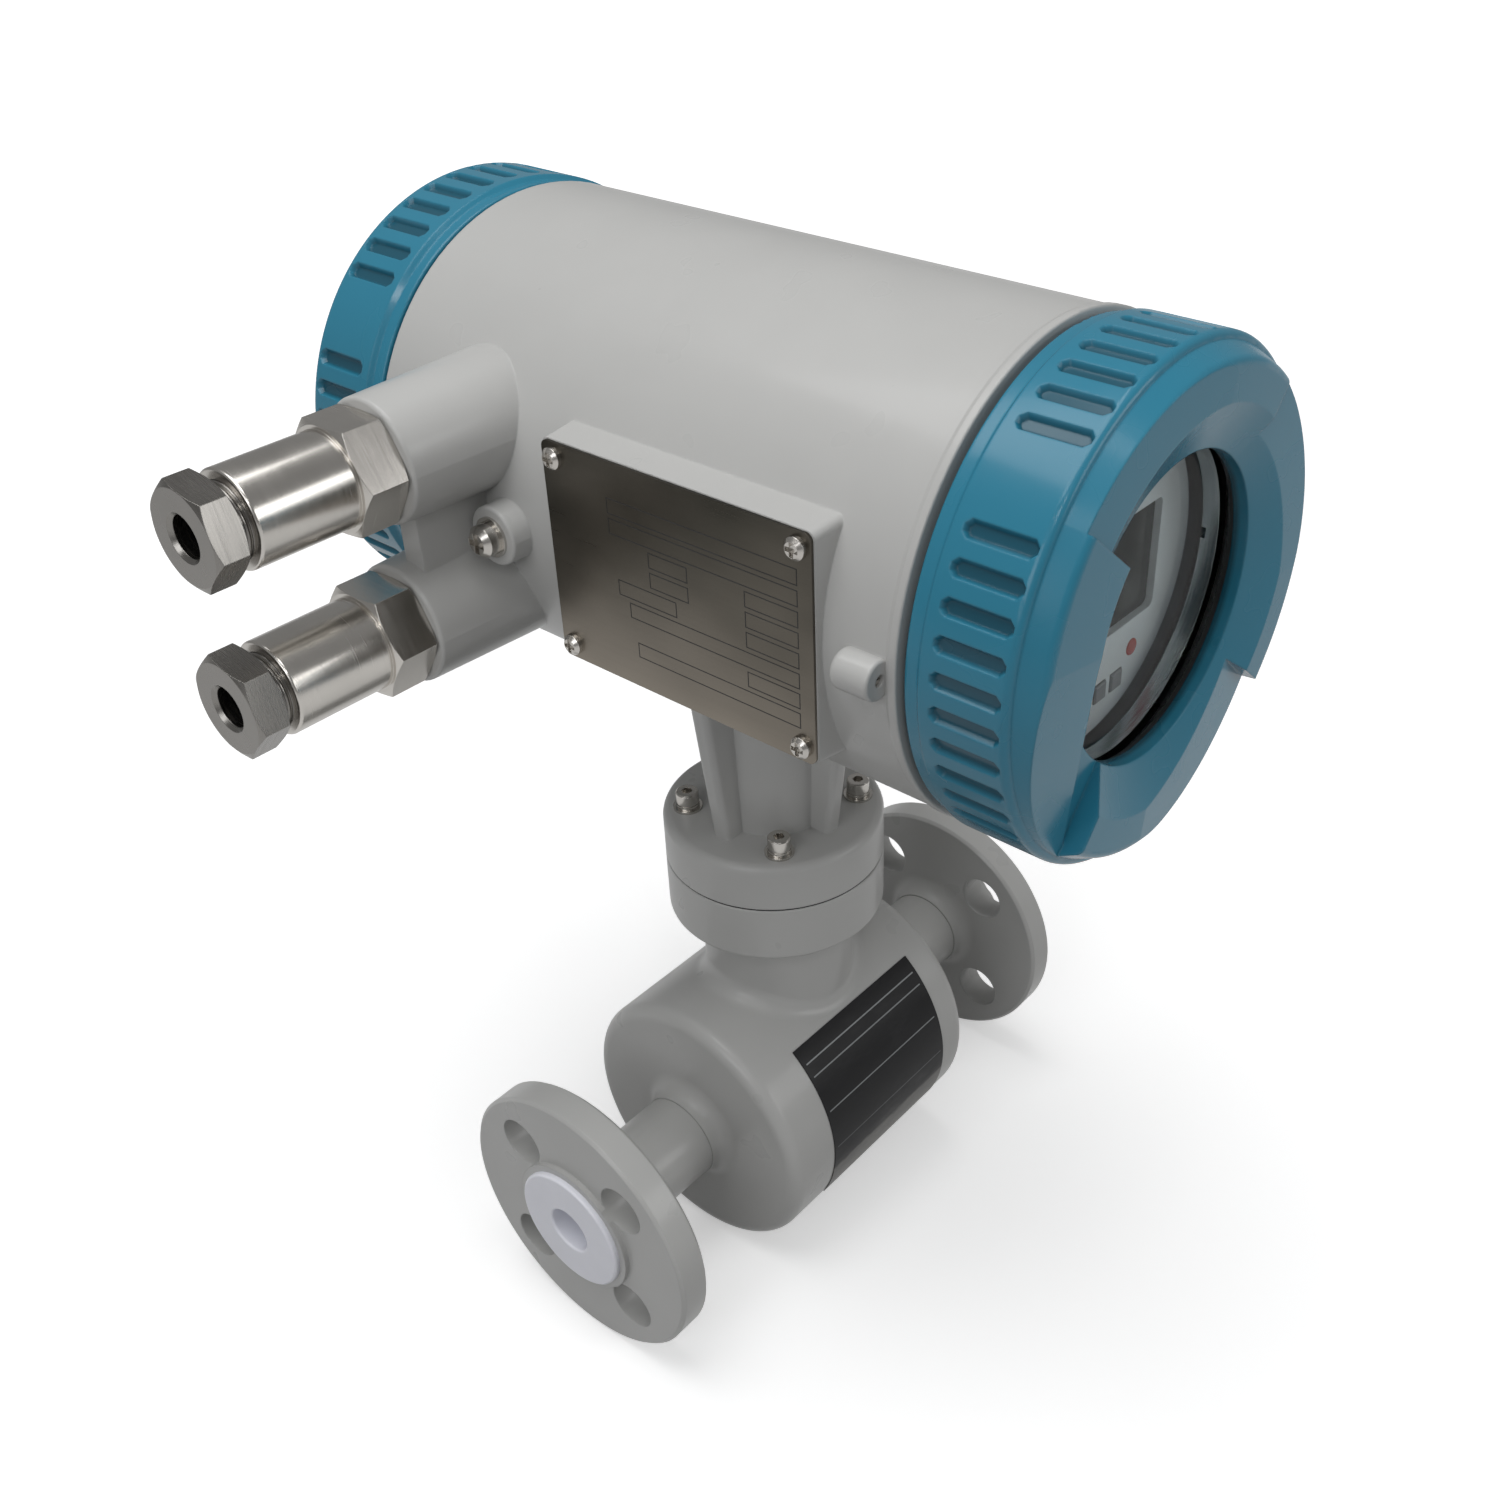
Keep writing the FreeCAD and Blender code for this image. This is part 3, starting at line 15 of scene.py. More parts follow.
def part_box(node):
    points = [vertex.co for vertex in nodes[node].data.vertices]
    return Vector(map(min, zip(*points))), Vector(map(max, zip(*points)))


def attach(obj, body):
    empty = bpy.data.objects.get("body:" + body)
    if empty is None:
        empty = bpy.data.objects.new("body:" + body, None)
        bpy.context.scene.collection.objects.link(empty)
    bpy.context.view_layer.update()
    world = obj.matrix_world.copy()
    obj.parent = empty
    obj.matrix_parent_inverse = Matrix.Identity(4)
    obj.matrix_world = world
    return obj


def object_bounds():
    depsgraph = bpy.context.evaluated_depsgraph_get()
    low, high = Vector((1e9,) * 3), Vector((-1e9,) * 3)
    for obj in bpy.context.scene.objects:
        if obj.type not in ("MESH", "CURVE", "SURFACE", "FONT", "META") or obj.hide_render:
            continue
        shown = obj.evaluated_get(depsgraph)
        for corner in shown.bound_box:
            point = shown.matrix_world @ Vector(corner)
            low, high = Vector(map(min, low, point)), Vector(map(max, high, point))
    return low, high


MM = 0.001


def plain(box):
    """A box as plain lists of numbers."""
    return [[float(value) for value in corner] for corner in box]


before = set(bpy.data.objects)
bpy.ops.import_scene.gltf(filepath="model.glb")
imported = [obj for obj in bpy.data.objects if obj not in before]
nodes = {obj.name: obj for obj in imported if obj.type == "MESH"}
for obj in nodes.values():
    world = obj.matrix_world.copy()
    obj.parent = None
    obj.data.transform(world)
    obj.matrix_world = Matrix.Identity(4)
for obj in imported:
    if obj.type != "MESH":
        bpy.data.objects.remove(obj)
solid_box = plain(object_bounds())
bpy.ops.object.select_all(action="DESELECT")
print("solids:", len(nodes), "box in mm:", [[round(v / MM, 1) for v in corner] for corner in solid_box])

# %% [markdown]
# ## The camera
#
# A product picture of a part this size is taken from arm's length, a little above it. A
# camera can be placed by hand or by a "track to" constraint. Here it is placed by its own
# three axes, because that also keeps the slight roll of a hand-held camera.

# %% Camera
AZIMUTH = radians(-49.87)
ELEVATION = radians(33.80)
ROLL = radians(-1.07)
CAMERA_PLACE = Vector((-301.11, -274.81, 399.14)) * MM
SENSOR_WIDTH = 36.0
FOCAL_LENGTH = 39.23
VIEW_SHIFT = (-0.0496, -0.0065)


def camera_axes(azimuth, elevation, roll):
    """Right, up and backward directions of a camera that looks at the object."""
    back = Vector((sin(azimuth) * cos(elevation), -cos(azimuth) * cos(elevation), sin(elevation)))
    level = (-back).cross(Vector((0, 0, 1))).normalized()
    upright = back.cross(level)
    right = level * cos(roll) + upright * sin(roll)
    up = upright * cos(roll) - level * sin(roll)
    return right, up, back


def add_camera():
    """The scene's camera, at its place and turn."""
    bpy.ops.object.camera_add(location=CAMERA_PLACE)
    camera = bpy.context.object
    right, up, back = camera_axes(AZIMUTH, ELEVATION, ROLL)
    turn = Matrix((right, up, back)).transposed()
    camera.rotation_euler = turn.to_euler()
    camera.data.sensor_width = SENSOR_WIDTH
    camera.data.lens = FOCAL_LENGTH
    camera.data.shift_x, camera.data.shift_y = VIEW_SHIFT
    camera.data.clip_start = 0.01
    bpy.context.scene.camera = camera
    return camera


add_camera()
print("camera lens in mm:", FOCAL_LENGTH)

# %% [markdown]
# ## Maths for materials
#
# Blender's materials are node trees, and a tree of Math nodes is hard to read. A small
# class can wrap one socket and answer to + - * and **, so that `mask * 0.3 + 0.1` adds the
# nodes by itself.

# %% Sockets that can be added up
class Wire:
    """One output socket that answers to arithmetic."""

    def __init__(self, finish, socket):
        self.finish = finish
        self.socket = socket

    def maths(self, operation, *values):
        """One Math node on these values."""
        return self.finish.maths(operation, *values)

    def __add__(self, other):
        return self.maths("ADD", self, other)

    def __sub__(self, other):
        return self.maths("SUBTRACT", self, other)

    def __rsub__(self, other):
        return self.maths("SUBTRACT", other, self)

    def __mul__(self, other):
        return self.maths("MULTIPLY", self, other)

    def __pow__(self, other):
        return self.maths("POWER", self, other)

    def above(self, level):
        """1 where the value is over a level, and 0 elsewhere."""
        return self.maths("GREATER_THAN", self, level)

    def below(self, level):
        """1 where the value is under a level, and 0 elsewhere."""
        return self.maths("LESS_THAN", self, level)

    def near(self, centre, half, soft):
        """1 within a distance of a value, and 0 outside it, with a soft edge."""
        distance = self.maths("ABSOLUTE", self - centre)
        return distance.ramp(half - soft, half + soft, 1.0, 0.0)

    def within(self, low, high, soft):
        """1 between two values, and 0 outside them, with soft edges."""
        return self.near((low + high) / 2, (high - low) / 2, soft)

    def ramp(self, low, high, to_low=0.0, to_high=1.0):
        """The value carried from one range to another, and held at both ends."""
        sockets = {0: self, 1: low, 2: high, 3: to_low, 4: to_high}
        return self.finish.node("MapRange", {"clamp": True}, sockets)


# %% [markdown]
# ## A finish
#
# A finish is a new material around one Principled shader. It has short names for the nodes
# that most finishes need: the point on the object, noise, a blend of two colours, and bumps
# over softened edges.

# %% Finish around one shader
BEVEL_SAMPLES = 6


class Finish:
    """A material around one Principled shader."""

    def __init__(self, name, **sockets):
        self.material = bpy.data.materials.new(name)
        self.material.use_nodes = True
        self.tree = self.material.node_tree
        self.shader = self.tree.nodes["Principled BSDF"]
        for socket, value in sockets.items():
            self.put(socket.replace("_", " ").title().replace("Ior", "IOR"), value)

    def put(self, socket, value):
        """Sets or links one socket of the shader."""
        self.feed(self.shader.inputs[socket], value)

    def feed(self, target, value):
        """Links a wire to a socket, or sets the socket to a plain value."""
        if isinstance(value, Wire):
            self.tree.links.new(value.socket, target)
        elif hasattr(target.default_value, "__len__") and len(value) == 3 and len(target.default_value) == 4:
            target.default_value = (*value, 1.0)
        else:
            target.default_value = value

    def node(self, kind, settings=None, values=None, output=0):
        """Adds a node: its settings first, then its sockets. Returns one of its outputs."""
        new = self.tree.nodes.new("ShaderNode" + kind)
        for key, value in (settings or {}).items():
            setattr(new, key, value)
        for key, value in (values or {}).items():
            self.feed(new.inputs[key], value)
        return Wire(self, new.outputs[output])

    def maths(self, operation, *values):
        """One Math node on these values."""
        return self.node("Math", {"operation": operation}, dict(enumerate(values)))

    def place(self):
        """The point on the object, in metres."""
        return self.node("TexCoord", output=3)

    def coordinate(self, axis):
        """One coordinate of the point: 0 for x, 1 for y and 2 for z."""
        return self.node("SeparateXYZ", {}, {0: self.place()}, axis)

    def noise(self, scale, detail=2.0, rough=0.5, stretch=(1, 1, 1)):
        """Soft noise from 0 to 1. The stretch squeezes it along an axis."""
        where = self.place()
        if tuple(stretch) != (1, 1, 1):
            where = self.node("Mapping", {"vector_type": "POINT"}, {"Vector": where, "Scale": stretch})
        sockets = {"Vector": where, "Scale": scale, "Detail": detail, "Roughness": rough}
        return self.node("TexNoise", {}, sockets)

    def blend(self, mask, low, high):
        """One colour where the mask is 0, turning to another where it is 1."""
        return self.node("Mix", {"data_type": "RGBA"}, {0: mask, 6: low, 7: high}, 2)

    def relief(self, height, distance, soften):
        """Bumps of a real height in metres, over edges softened to a radius."""
        rounded = self.node("Bevel", {"samples": BEVEL_SAMPLES}, {"Radius": soften})
        self.put("Normal", self.node("Bump", {}, {"Height": height, "Distance": distance, "Normal": rounded}))

    def fed(self, name):
        """The wire that feeds a socket of the shader now."""
        return Wire(self, self.shader.inputs[name].links[0].from_socket)


def scaled(colour, factor):
    """A colour made lighter or darker."""
    return tuple(channel * factor for channel in colour)


def from_screen(*levels):
    """A colour read as 0 to 255 screen levels, as the linear values that a shader takes."""
    return tuple(((level / 255 + 0.055) / 1.055) ** 2.4 for level in levels)


def dress(names, finish):
    """Gives CAD nodes a finish."""
    for name in names.split():
        materials = nodes[name].data.materials
        materials.clear()
        materials.append(finish.material)
    print(finish.material.name, "on", names)


# %% [markdown]
# ## Enamel on castings
#
# The converter, drum and flanges are sprayed with a glossy grey enamel, and the covers with
# a blue-green one. Sprayed enamel lies in a fine orange peel over the slow waves of the
# casting below, and it is thicker and softer at the edges. A Bevel node rounds the shading
# of those edges, and two scales of noise give the peel and the waves.

# %% Enamel
GREY = from_screen(184, 184, 182)
TEAL = from_screen(46, 124, 150)
PEEL_SCALE = 420.0
PEEL_SHARE = 0.06
WAVE_SCALE = 90.0
PAINT_RELIEF = 0.08 * MM
PAINT_COAT = 0.15
EDGE_SOFTNESS = 0.8 * MM


def enamel(name, colour, roughness=0.3, waves=0.04):
    """Glossy sprayed paint."""
    paint = Finish(name, coat_weight=PAINT_COAT, coat_roughness=0.12, specular_ior_level=0.3)
    blotch = paint.noise(24.0, 3.0, 0.6)
    paint.put("Base Color", paint.blend(blotch, scaled(colour, 0.94), scaled(colour, 1.04)))
    smear = paint.noise(60.0, 2.0, 0.5)
    paint.put("Roughness", smear.ramp(0.3, 0.75, roughness * 0.9, roughness * 1.25))
    peel = paint.noise(PEEL_SCALE, 1.0)
    wave = paint.noise(WAVE_SCALE, 2.0)
    paint.relief(peel * PEEL_SHARE + wave * waves, PAINT_RELIEF, EDGE_SOFTNESS)
    return paint


dress("sensor_housing inlet_flange outlet_flange measuring_tube", enamel("grey_enamel", GREY))

# %% [markdown]
# ## The housing is dark inside
#
# The barrel's two chambers get a near-black painted shade, since closed chambers lie in shade.
# A mask worked out from the point's place on the object, inside a radius of the barrel's
# axis, picks painted shade or enamel in one material. The ground seat and the cable-entry
# faces are painted with the rest.

# %% Converter housing
COVER_AXIS_HEIGHT = (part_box("front_o_ring")[0][2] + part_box("front_o_ring")[1][2]) / 2
# Near-black painted shade for the inside of the chambers.
CHAMBER_SHADE = (0.045, 0.047, 0.05)
CHAMBER_RADIUS = 57.1 * MM


def from_axis(finish):
    """Distance of the point from the barrel's axis."""
    x = finish.coordinate(0)
    z = finish.coordinate(2) - COVER_AXIS_HEIGHT
    return (x * x + z * z) ** 0.5


housing_enamel = enamel("grey_enamel_dark_inside", GREY)
inside = from_axis(housing_enamel).below(CHAMBER_RADIUS)
housing_enamel.put("Base Color", housing_enamel.blend(inside, housing_enamel.fed("Base Color"), CHAMBER_SHADE))
dress("converter_housing", housing_enamel)
print("barrel axis height in mm:", round(COVER_AXIS_HEIGHT / MM, 1))

# %% [markdown]
# ## The covers are painted outside only
#
# Inside a cover the thread and the glass seat are cut after painting, so they are bare
# aluminium. One material can hold both: a mask worked out from the point's place picks
# paint or metal. The finger grooves carry painted shade: the enamel turns darker with the
# depth below the grip ring's crest.

# %% Covers
BARE_RADIUS = 57.0 * MM
GLASS_SEAT = -120.5 * MM
REAR_WALL = 3.0 * MM
BARE_SPAN = {"front_cover": (GLASS_SEAT, 0.0), "rear_cover": (0.0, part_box("rear_cover")[1][1] - REAR_WALL)}
BARE_EDGE = 0.01 * MM
BARE_ROUGHNESS = 0.32
GROOVE_FLOOR = 62.4 * MM
GRIP_CREST = 63.7 * MM
GRIP_FROM = {"front_cover": -122.0 * MM, "rear_cover": 88.0 * MM}
GRIP_LENGTH = 19.0 * MM
GRIP_EDGE = 0.6 * MM
COVER_COAT = 0.2
ALUMINIUM = (0.72, 0.73, 0.74)


def cover_paint(cover):
    """Enamel outside with painted shade in the grooves, and turned aluminium inside."""
    paint = enamel("teal_enamel_" + cover, TEAL, roughness=0.24, waves=0.08)
    radius = from_axis(paint)
    depth = paint.coordinate(1)
    start = GRIP_FROM[cover]
    grip = depth.within(start, start + GRIP_LENGTH, GRIP_EDGE)
    # Painted shade: the enamel darkens towards the groove floors.
    groove_shade = radius.ramp(GROOVE_FLOOR, GRIP_CREST, 1.0, 0.0) * grip
    paint.put("Base Color", paint.blend(groove_shade, paint.fed("Base Color"), scaled(TEAL, 0.42)))
    bare = (radius.below(BARE_RADIUS) * depth.within(*BARE_SPAN[cover], BARE_EDGE)).above(0.5)
    paint.put("Base Color", paint.blend(bare, paint.fed("Base Color"), ALUMINIUM))
    paint.put("Roughness", paint.fed("Roughness") * (1 - bare) + bare * BARE_ROUGHNESS)
    paint.put("Metallic", bare)
    paint.put("Coat Weight", (1 - bare) * COVER_COAT)
    return paint


for cover in GRIP_FROM:
    dress(cover, cover_paint(cover))

# %% [markdown]
# ## Metals
#
# Turned parts carry fine rings across their axis, sheet carries a brushed grain along one
# direction, and small fasteners are nearly smooth. All are noise, and where it is stretched
# hard along two axes it only changes along the third. The gland nuts get a darker copy of the
# gland bodies' steel.

# %% Metals
STEEL = (0.50, 0.48, 0.45)
LONG = 0.02
RINGS_ROUND_X = (1, LONG, LONG)
RINGS_ROUND_Y = (LONG, 1, LONG)
LINES_IN_LEVEL = (LONG, LONG, 1)
LAMINATED = (1, 1, LONG)
ALL_WAYS = (1, 1, 1)
FINE, COARSE = 0.01 * MM, 0.03 * MM


def worked_metal(name, colour, roughness, grain, stretch=ALL_WAYS, depth=FINE, soften=0.25 * MM):
    """Bare metal with marks left by a tool."""
    metal = Finish(name, metallic=1.0)
    marks = metal.noise(grain, 3.0, 0.7, stretch)
    cloud = metal.noise(45.0, 3.0, 0.6)
    metal.put("Base Color", metal.blend(cloud, scaled(colour, 0.86), scaled(colour, 1.1)))
    wear = marks * 0.6 + cloud * 0.4
    metal.put("Roughness", wear.ramp(0.25, 0.75, roughness * 0.65, roughness * 1.4))
    metal.relief(marks, depth, soften)
    return metal


# %% Steel
TURNED_DEPTH = 0.008 * MM

turned_steel = worked_metal("turned_stainless", scaled(STEEL, 1.3), 0.22, 2600.0, RINGS_ROUND_X, TURNED_DEPTH)
dress("gland_body_upper gland_body_lower thrust_washer_upper thrust_washer_lower", turned_steel)
dress("electrode_front electrode_rear", turned_steel)
# The gland nuts are darker than the gland bodies.
nut_steel = worked_metal("darker_stainless", scaled(STEEL, 0.56), 0.26, 2600.0, RINGS_ROUND_X, TURNED_DEPTH)
dress("gland_nut_upper gland_nut_lower", nut_steel)
bright_steel = worked_metal("bright_fastener_steel", scaled(STEEL, 1.2), 0.22, 900.0, soften=0.15 * MM)
dress("neck_screws neck_washers neck_spring_washers cover_lock_screw", bright_steel)
dress("nameplate_screws ground_screw ground_washer ground_spring_washer", bright_steel)

# %% Other metals
bare_metal = scaled(ALUMINIUM, 0.85)
turned_aluminium = worked_metal("turned_aluminium", bare_metal, 0.24, 900.0, RINGS_ROUND_Y, COARSE)
dress("glass_retainer board_posts", turned_aluminium)
dress("capacitors", worked_metal("can_aluminium", ALUMINIUM, 0.3, 500.0))
iron = worked_metal("electrical_steel", (0.24, 0.24, 0.25), 0.5, 700.0, LAMINATED, COARSE)
dress("upper_pole lower_pole magnet_yoke transformer", iron)
dress("terminal_screws", worked_metal("nickel_plated_brass", (0.66, 0.6, 0.45), 0.3, 900.0))
copper = worked_metal("enamelled_winding", (0.62, 0.25, 0.11), 0.3, 2400.0, LINES_IN_LEVEL, 0.15 * MM)
dress("upper_coil lower_coil", copper)

# %% [markdown]
# ## The nameplate's metal
#
# The plate is thin rolled sheet with a warm dark patina. Rolled sheet isn't quite flat, so it
# mirrors its surroundings in soft clouds. These are painted reflections: clouds of noise in
# the colour, lighter towards the bottom of the plate. Very low bumps add to that unevenness,
# and a fine grain runs along the plate.

# %% Nameplate metal
PATINA_DARK = (0.060, 0.056, 0.046)
# The lighter colour is painted reflection; the dark one is the patina.
PLATE_REFLECTION_LIGHT = (0.28, 0.25, 0.21)
SHEET_RELIEF = 0.25 * MM
THIN_EDGE = 0.2 * MM


def rolled_sheet():
    """Warm dark sheet metal with painted reflections in soft clouds, lighter towards the bottom, and a fine
    grain.
    """
    sheet = Finish("rolled_plate", metallic=1.0)
    low, high = (corner[2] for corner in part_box("nameplate"))
    height = sheet.coordinate(2).ramp(low, high, 1.0, 0.0)
    cloud = sheet.noise(26.0, 2.0, 0.45, (1, 0.7, 1.3))
    # Painted reflection: noise clouds, and a lighter tone towards the bottom of the plate.
    shade = (cloud * 1.1 + height * height * 0.75 - 0.42).ramp(0, 1)
    sheet.put("Base Color", sheet.blend(shade, PATINA_DARK, PLATE_REFLECTION_LIGHT))
    grain = sheet.noise(1500.0, 3.0, 0.7, (1, LONG, 1))
    sheet.put("Roughness", (grain * 0.5 + cloud * 0.5).ramp(0.25, 0.75, 0.22, 0.42))
    sheet.relief(grain * 0.04 + cloud * 3.0, SHEET_RELIEF, THIN_EDGE)
    return sheet


dress("nameplate", rolled_sheet())

# %% [markdown]
# ## Plastics and rubber
#
# The lining is PTFE: white, waxy and a little see-through, so it gets some subsurface
# scattering. The seals are black rubber. Moulded parts all carry a fine grain.

# %% Plastics and rubber
SMOOTH = 0.002 * MM
GRAINED = 0.02 * MM


def moulded(name, colour, roughness=0.45, grain=600.0, depth=GRAINED, **sockets):
    """Plastic or rubber with a fine moulded grain."""
    plastic = Finish(name, **sockets)
    grains = plastic.noise(grain, 3.0, 0.6)
    cloud = plastic.noise(40.0, 3.0, 0.6)
    plastic.put("Base Color", plastic.blend(cloud, scaled(colour, 0.9), scaled(colour, 1.06)))
    plastic.put("Roughness", cloud.ramp(0.3, 0.7, roughness * 0.85, roughness * 1.2))
    plastic.relief(grains, depth, 0.25 * MM)
    return plastic


ptfe = moulded("ptfe_lining", from_screen(242, 243, 252), 0.42, 250.0, COARSE,
               subsurface_weight=0.2, subsurface_radius=(0.004, 0.004, 0.004), subsurface_scale=0.5)
dress("liner electrode_bush_front electrode_bush_rear", ptfe)
rubber = moulded("black_rubber", (0.016, 0.016, 0.017), 0.55)
dress("front_o_ring rear_o_ring window_gasket gland_seal_upper gland_seal_lower neck_gasket", rubber)

# %% Display and electronics
dress("display_bezel", moulded("white_bezel_plastic", from_screen(205, 209, 213), 0.4))
key_plastic = moulded("key_plastic", from_screen(120, 122, 126), 0.4)
dress("display_key_1 display_key_2 display_key_3 display_key_4 key_switches", key_plastic)
screen = moulded("dark_screen", (0.010, 0.011, 0.010), 0.2, 200.0, SMOOTH, specular_ior_level=0.25)
dress("lcd_module", screen)
lens = moulded("red_lens", (0.34, 0.03, 0.022), 0.2, 200.0, SMOOTH, specular_ior_level=0.3)
dress("indicator_lamp", lens)
board = moulded("solder_mask", (0.02, 0.11, 0.05), 0.35, 1200.0, GRAINED, coat_weight=0.3)
dress("display_board main_board power_board", board)
dress("terminal_board terminal_blocks", moulded("terminal_plastic", (0.03, 0.03, 0.034), 0.4))

# %% [markdown]
# ## The printed label
#
# The sticker is black film with thin white rules that part its rows, and a lower edge that
# hands and cleaning have rubbed grey. It lies on a cylinder, so a row is an angle round the
# pipe's axis. An arctangent of height and depth gives that angle, and each rule is a narrow
# band of it. The rows stay blank.

# %% Label
RULE_ANGLES = (136.0, 142.0, 158.5, 177.0)
RULE_STRENGTHS = (0.5, 0.42, 0.42, 0.16)
RULE_HALF_DEG = 0.28
RULE_ENDS = (-24.5 * MM, 30.5 * MM)
RULE_BLUR_DEG = 0.12
WORN_FROM_DEG = 188.5
SCUFF_RELIEF = 0.05 * MM
FILM = (0.012, 0.012, 0.013)
PRINT = (0.62, 0.65, 0.66)
RUBBED = (0.17, 0.165, 0.155)


def printed_film():
    """Black label film with white rules and a rubbed lower edge."""
    film = Finish("printed_film", specular_ior_level=0.22)
    x, y, z = (film.coordinate(axis) for axis in range(3))
    angle = film.maths("ARCTAN2", z, y) * (180 / pi)
    angle = angle + angle.below(0.0) * 360
    along = x.within(*RULE_ENDS, 0.1 * MM)
    rules = 0.0
    for centre, strength in zip(RULE_ANGLES, RULE_STRENGTHS):
        rules = angle.near(centre, RULE_HALF_DEG, RULE_BLUR_DEG) * strength + rules
    scuffs = film.noise(190.0, 5.0, 0.7, (0.35, 1, 1))
    ragged = film.noise(90.0, 3.0, 0.6)
    worn = (angle + ragged * 5.0 - 2.5).ramp(WORN_FROM_DEG - 1.0, WORN_FROM_DEG + 1.0)
    rubbed = film.blend(scuffs.ramp(0.35, 0.7), scaled(RUBBED, 0.55), scaled(RUBBED, 1.5))
    dusty = film.blend(scuffs.ramp(0.5, 0.85), FILM, scaled(FILM, 2.2))
    printed = film.blend(rules * along, dusty, PRINT)
    film.put("Base Color", film.blend(worn, printed, rubbed))
    film.put("Roughness", scuffs.ramp(0.3, 0.7, 0.3, 0.5))
    film.relief(scuffs * worn, SCUFF_RELIEF, THIN_EDGE)
    return film


dress("sensor_label", printed_film())

# %% [markdown]
# ## Sight glass
#
# The window is clear glass with faint smudges in its roughness. Its index is set low, so
# that it hardly mirrors the bright room and the display behind it stays readable.

# %% Glass
CLEAR = (0.93, 0.97, 0.96)

glass = Finish("sight_glass", base_color=CLEAR, transmission_weight=1.0, ior=1.12)
smudge = glass.noise(50.0, 4.0, 0.6)
glass.put("Roughness", smudge.ramp(0.5, 0.8, 0.01, 0.06))
dress("window_glass", glass)

# %% [markdown]
# ## Modelling helpers
#
# The small forms are modelled with Blender's own operators, as by hand. Each starts from a
# primitive at its size and place. A finished piece has its place in its mesh, like the
# solids from CAD, so that every material reads the same coordinates.

# %% Helpers for pieces
def settle(name):
    """Names the active piece and writes its place, turn and size into its mesh."""
    piece = bpy.context.object
    piece.name = name
    piece.data.name = name
    bpy.ops.object.transform_apply(location=True, rotation=True, scale=True)
    return piece


def apply_modifier(piece, kind, **settings):
    """Adds a modifier with its settings and applies it."""
    bpy.ops.object.modifier_add(type=kind)
    modifier = piece.modifiers[-1]
    for key, value in settings.items():
        setattr(modifier, key, value)
    bpy.ops.object.modifier_apply(modifier=modifier.name)


def fit(piece, body, finish):
    """Gives a finished piece its material and its body."""
    piece.data.materials.clear()
    piece.data.materials.append(finish.material)
    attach(piece, body)
    bpy.ops.object.select_all(action="DESELECT")
    print(piece.name, "has", len(piece.data.polygons), "faces")


# %% [markdown]
# ## Etched boxes on the nameplate
#
# A nameplate has a grid of hollow boxes for values to be stamped in. These stay blank. Each
# line is filled etching, so it is a very thin dark frame. A plane gets an inset, its middle
# is deleted, and Solidify makes the frames left over into closed strips.

# %% Etched boxes
PLATE_LOW, PLATE_HIGH = (Vector(corner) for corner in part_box("nameplate"))
PLATE_SIZE = PLATE_HIGH - PLATE_LOW
FIRST_ROW = 0.193
ROW_STEP = 0.0893
BOX_HEIGHT = 4.2 * MM
LINE_WIDTH = 0.28 * MM
LINE_PROUD = 0.02 * MM
BOXES = ((0, 0.25, 0.95), (1, 0.25, 0.95), (2, 0.40, 0.55), (2, 0.76, 0.95), (3, 0.40, 0.55), (3, 0.76, 0.95),
         (4, 0.27, 0.50), (4, 0.76, 0.95), (5, 0.31, 0.95), (6, 0.76, 0.95), (7, 0.33, 0.95))


def etched_box(row, left, right):
    """One hollow box of thin line. Left and right are shares of the plate's width."""
    y = PLATE_HIGH.y - (left + right) / 2 * PLATE_SIZE.y
    z = PLATE_HIGH.z - (FIRST_ROW + row * ROW_STEP) * PLATE_SIZE.z
    bpy.ops.mesh.primitive_plane_add(size=1.0, location=(PLATE_LOW.x, y, z), rotation=(0, radians(-90), 0))
    bpy.context.object.scale = (BOX_HEIGHT, (right - left) * PLATE_SIZE.y, 1)
    box = settle("etched_box")
    bpy.ops.object.mode_set(mode="EDIT")
    bpy.ops.mesh.select_all(action="SELECT")
    bpy.ops.mesh.inset(thickness=LINE_WIDTH, depth=0)
    bpy.ops.mesh.delete(type="FACE")
    bpy.ops.object.mode_set(mode="OBJECT")
    return box


def etched_boxes():
    """All boxes, joined into one piece and thickened."""
    boxes = [etched_box(*box) for box in BOXES]
    for box in boxes:
        box.select_set(True)
    bpy.context.view_layer.objects.active = boxes[0]
    bpy.ops.object.join()
    piece = settle("nameplate_lines")
    apply_modifier(piece, "SOLIDIFY", thickness=LINE_PROUD * 2, offset=0.0)
    return piece


etching = moulded("filled_etching", (0.014, 0.013, 0.012), 0.5)
fit(etched_boxes(), "meter", etching)

# %% [markdown]
# ## Threads
#
# A screw thread is one ridge wound round a shank. CAD keeps the shanks plain, so that the
# joints stay simple. Here a small trapezium is swept by the Screw modifier, one turn for
# each pitch, and the two open ends are filled. It stands a little way into the clearance.

# %% Thread helper
THREAD_STEPS = 72
THREAD_SINK = 0.1 * MM
ROOT_SHARE = 0.9
CREST_SHARE = 0.25


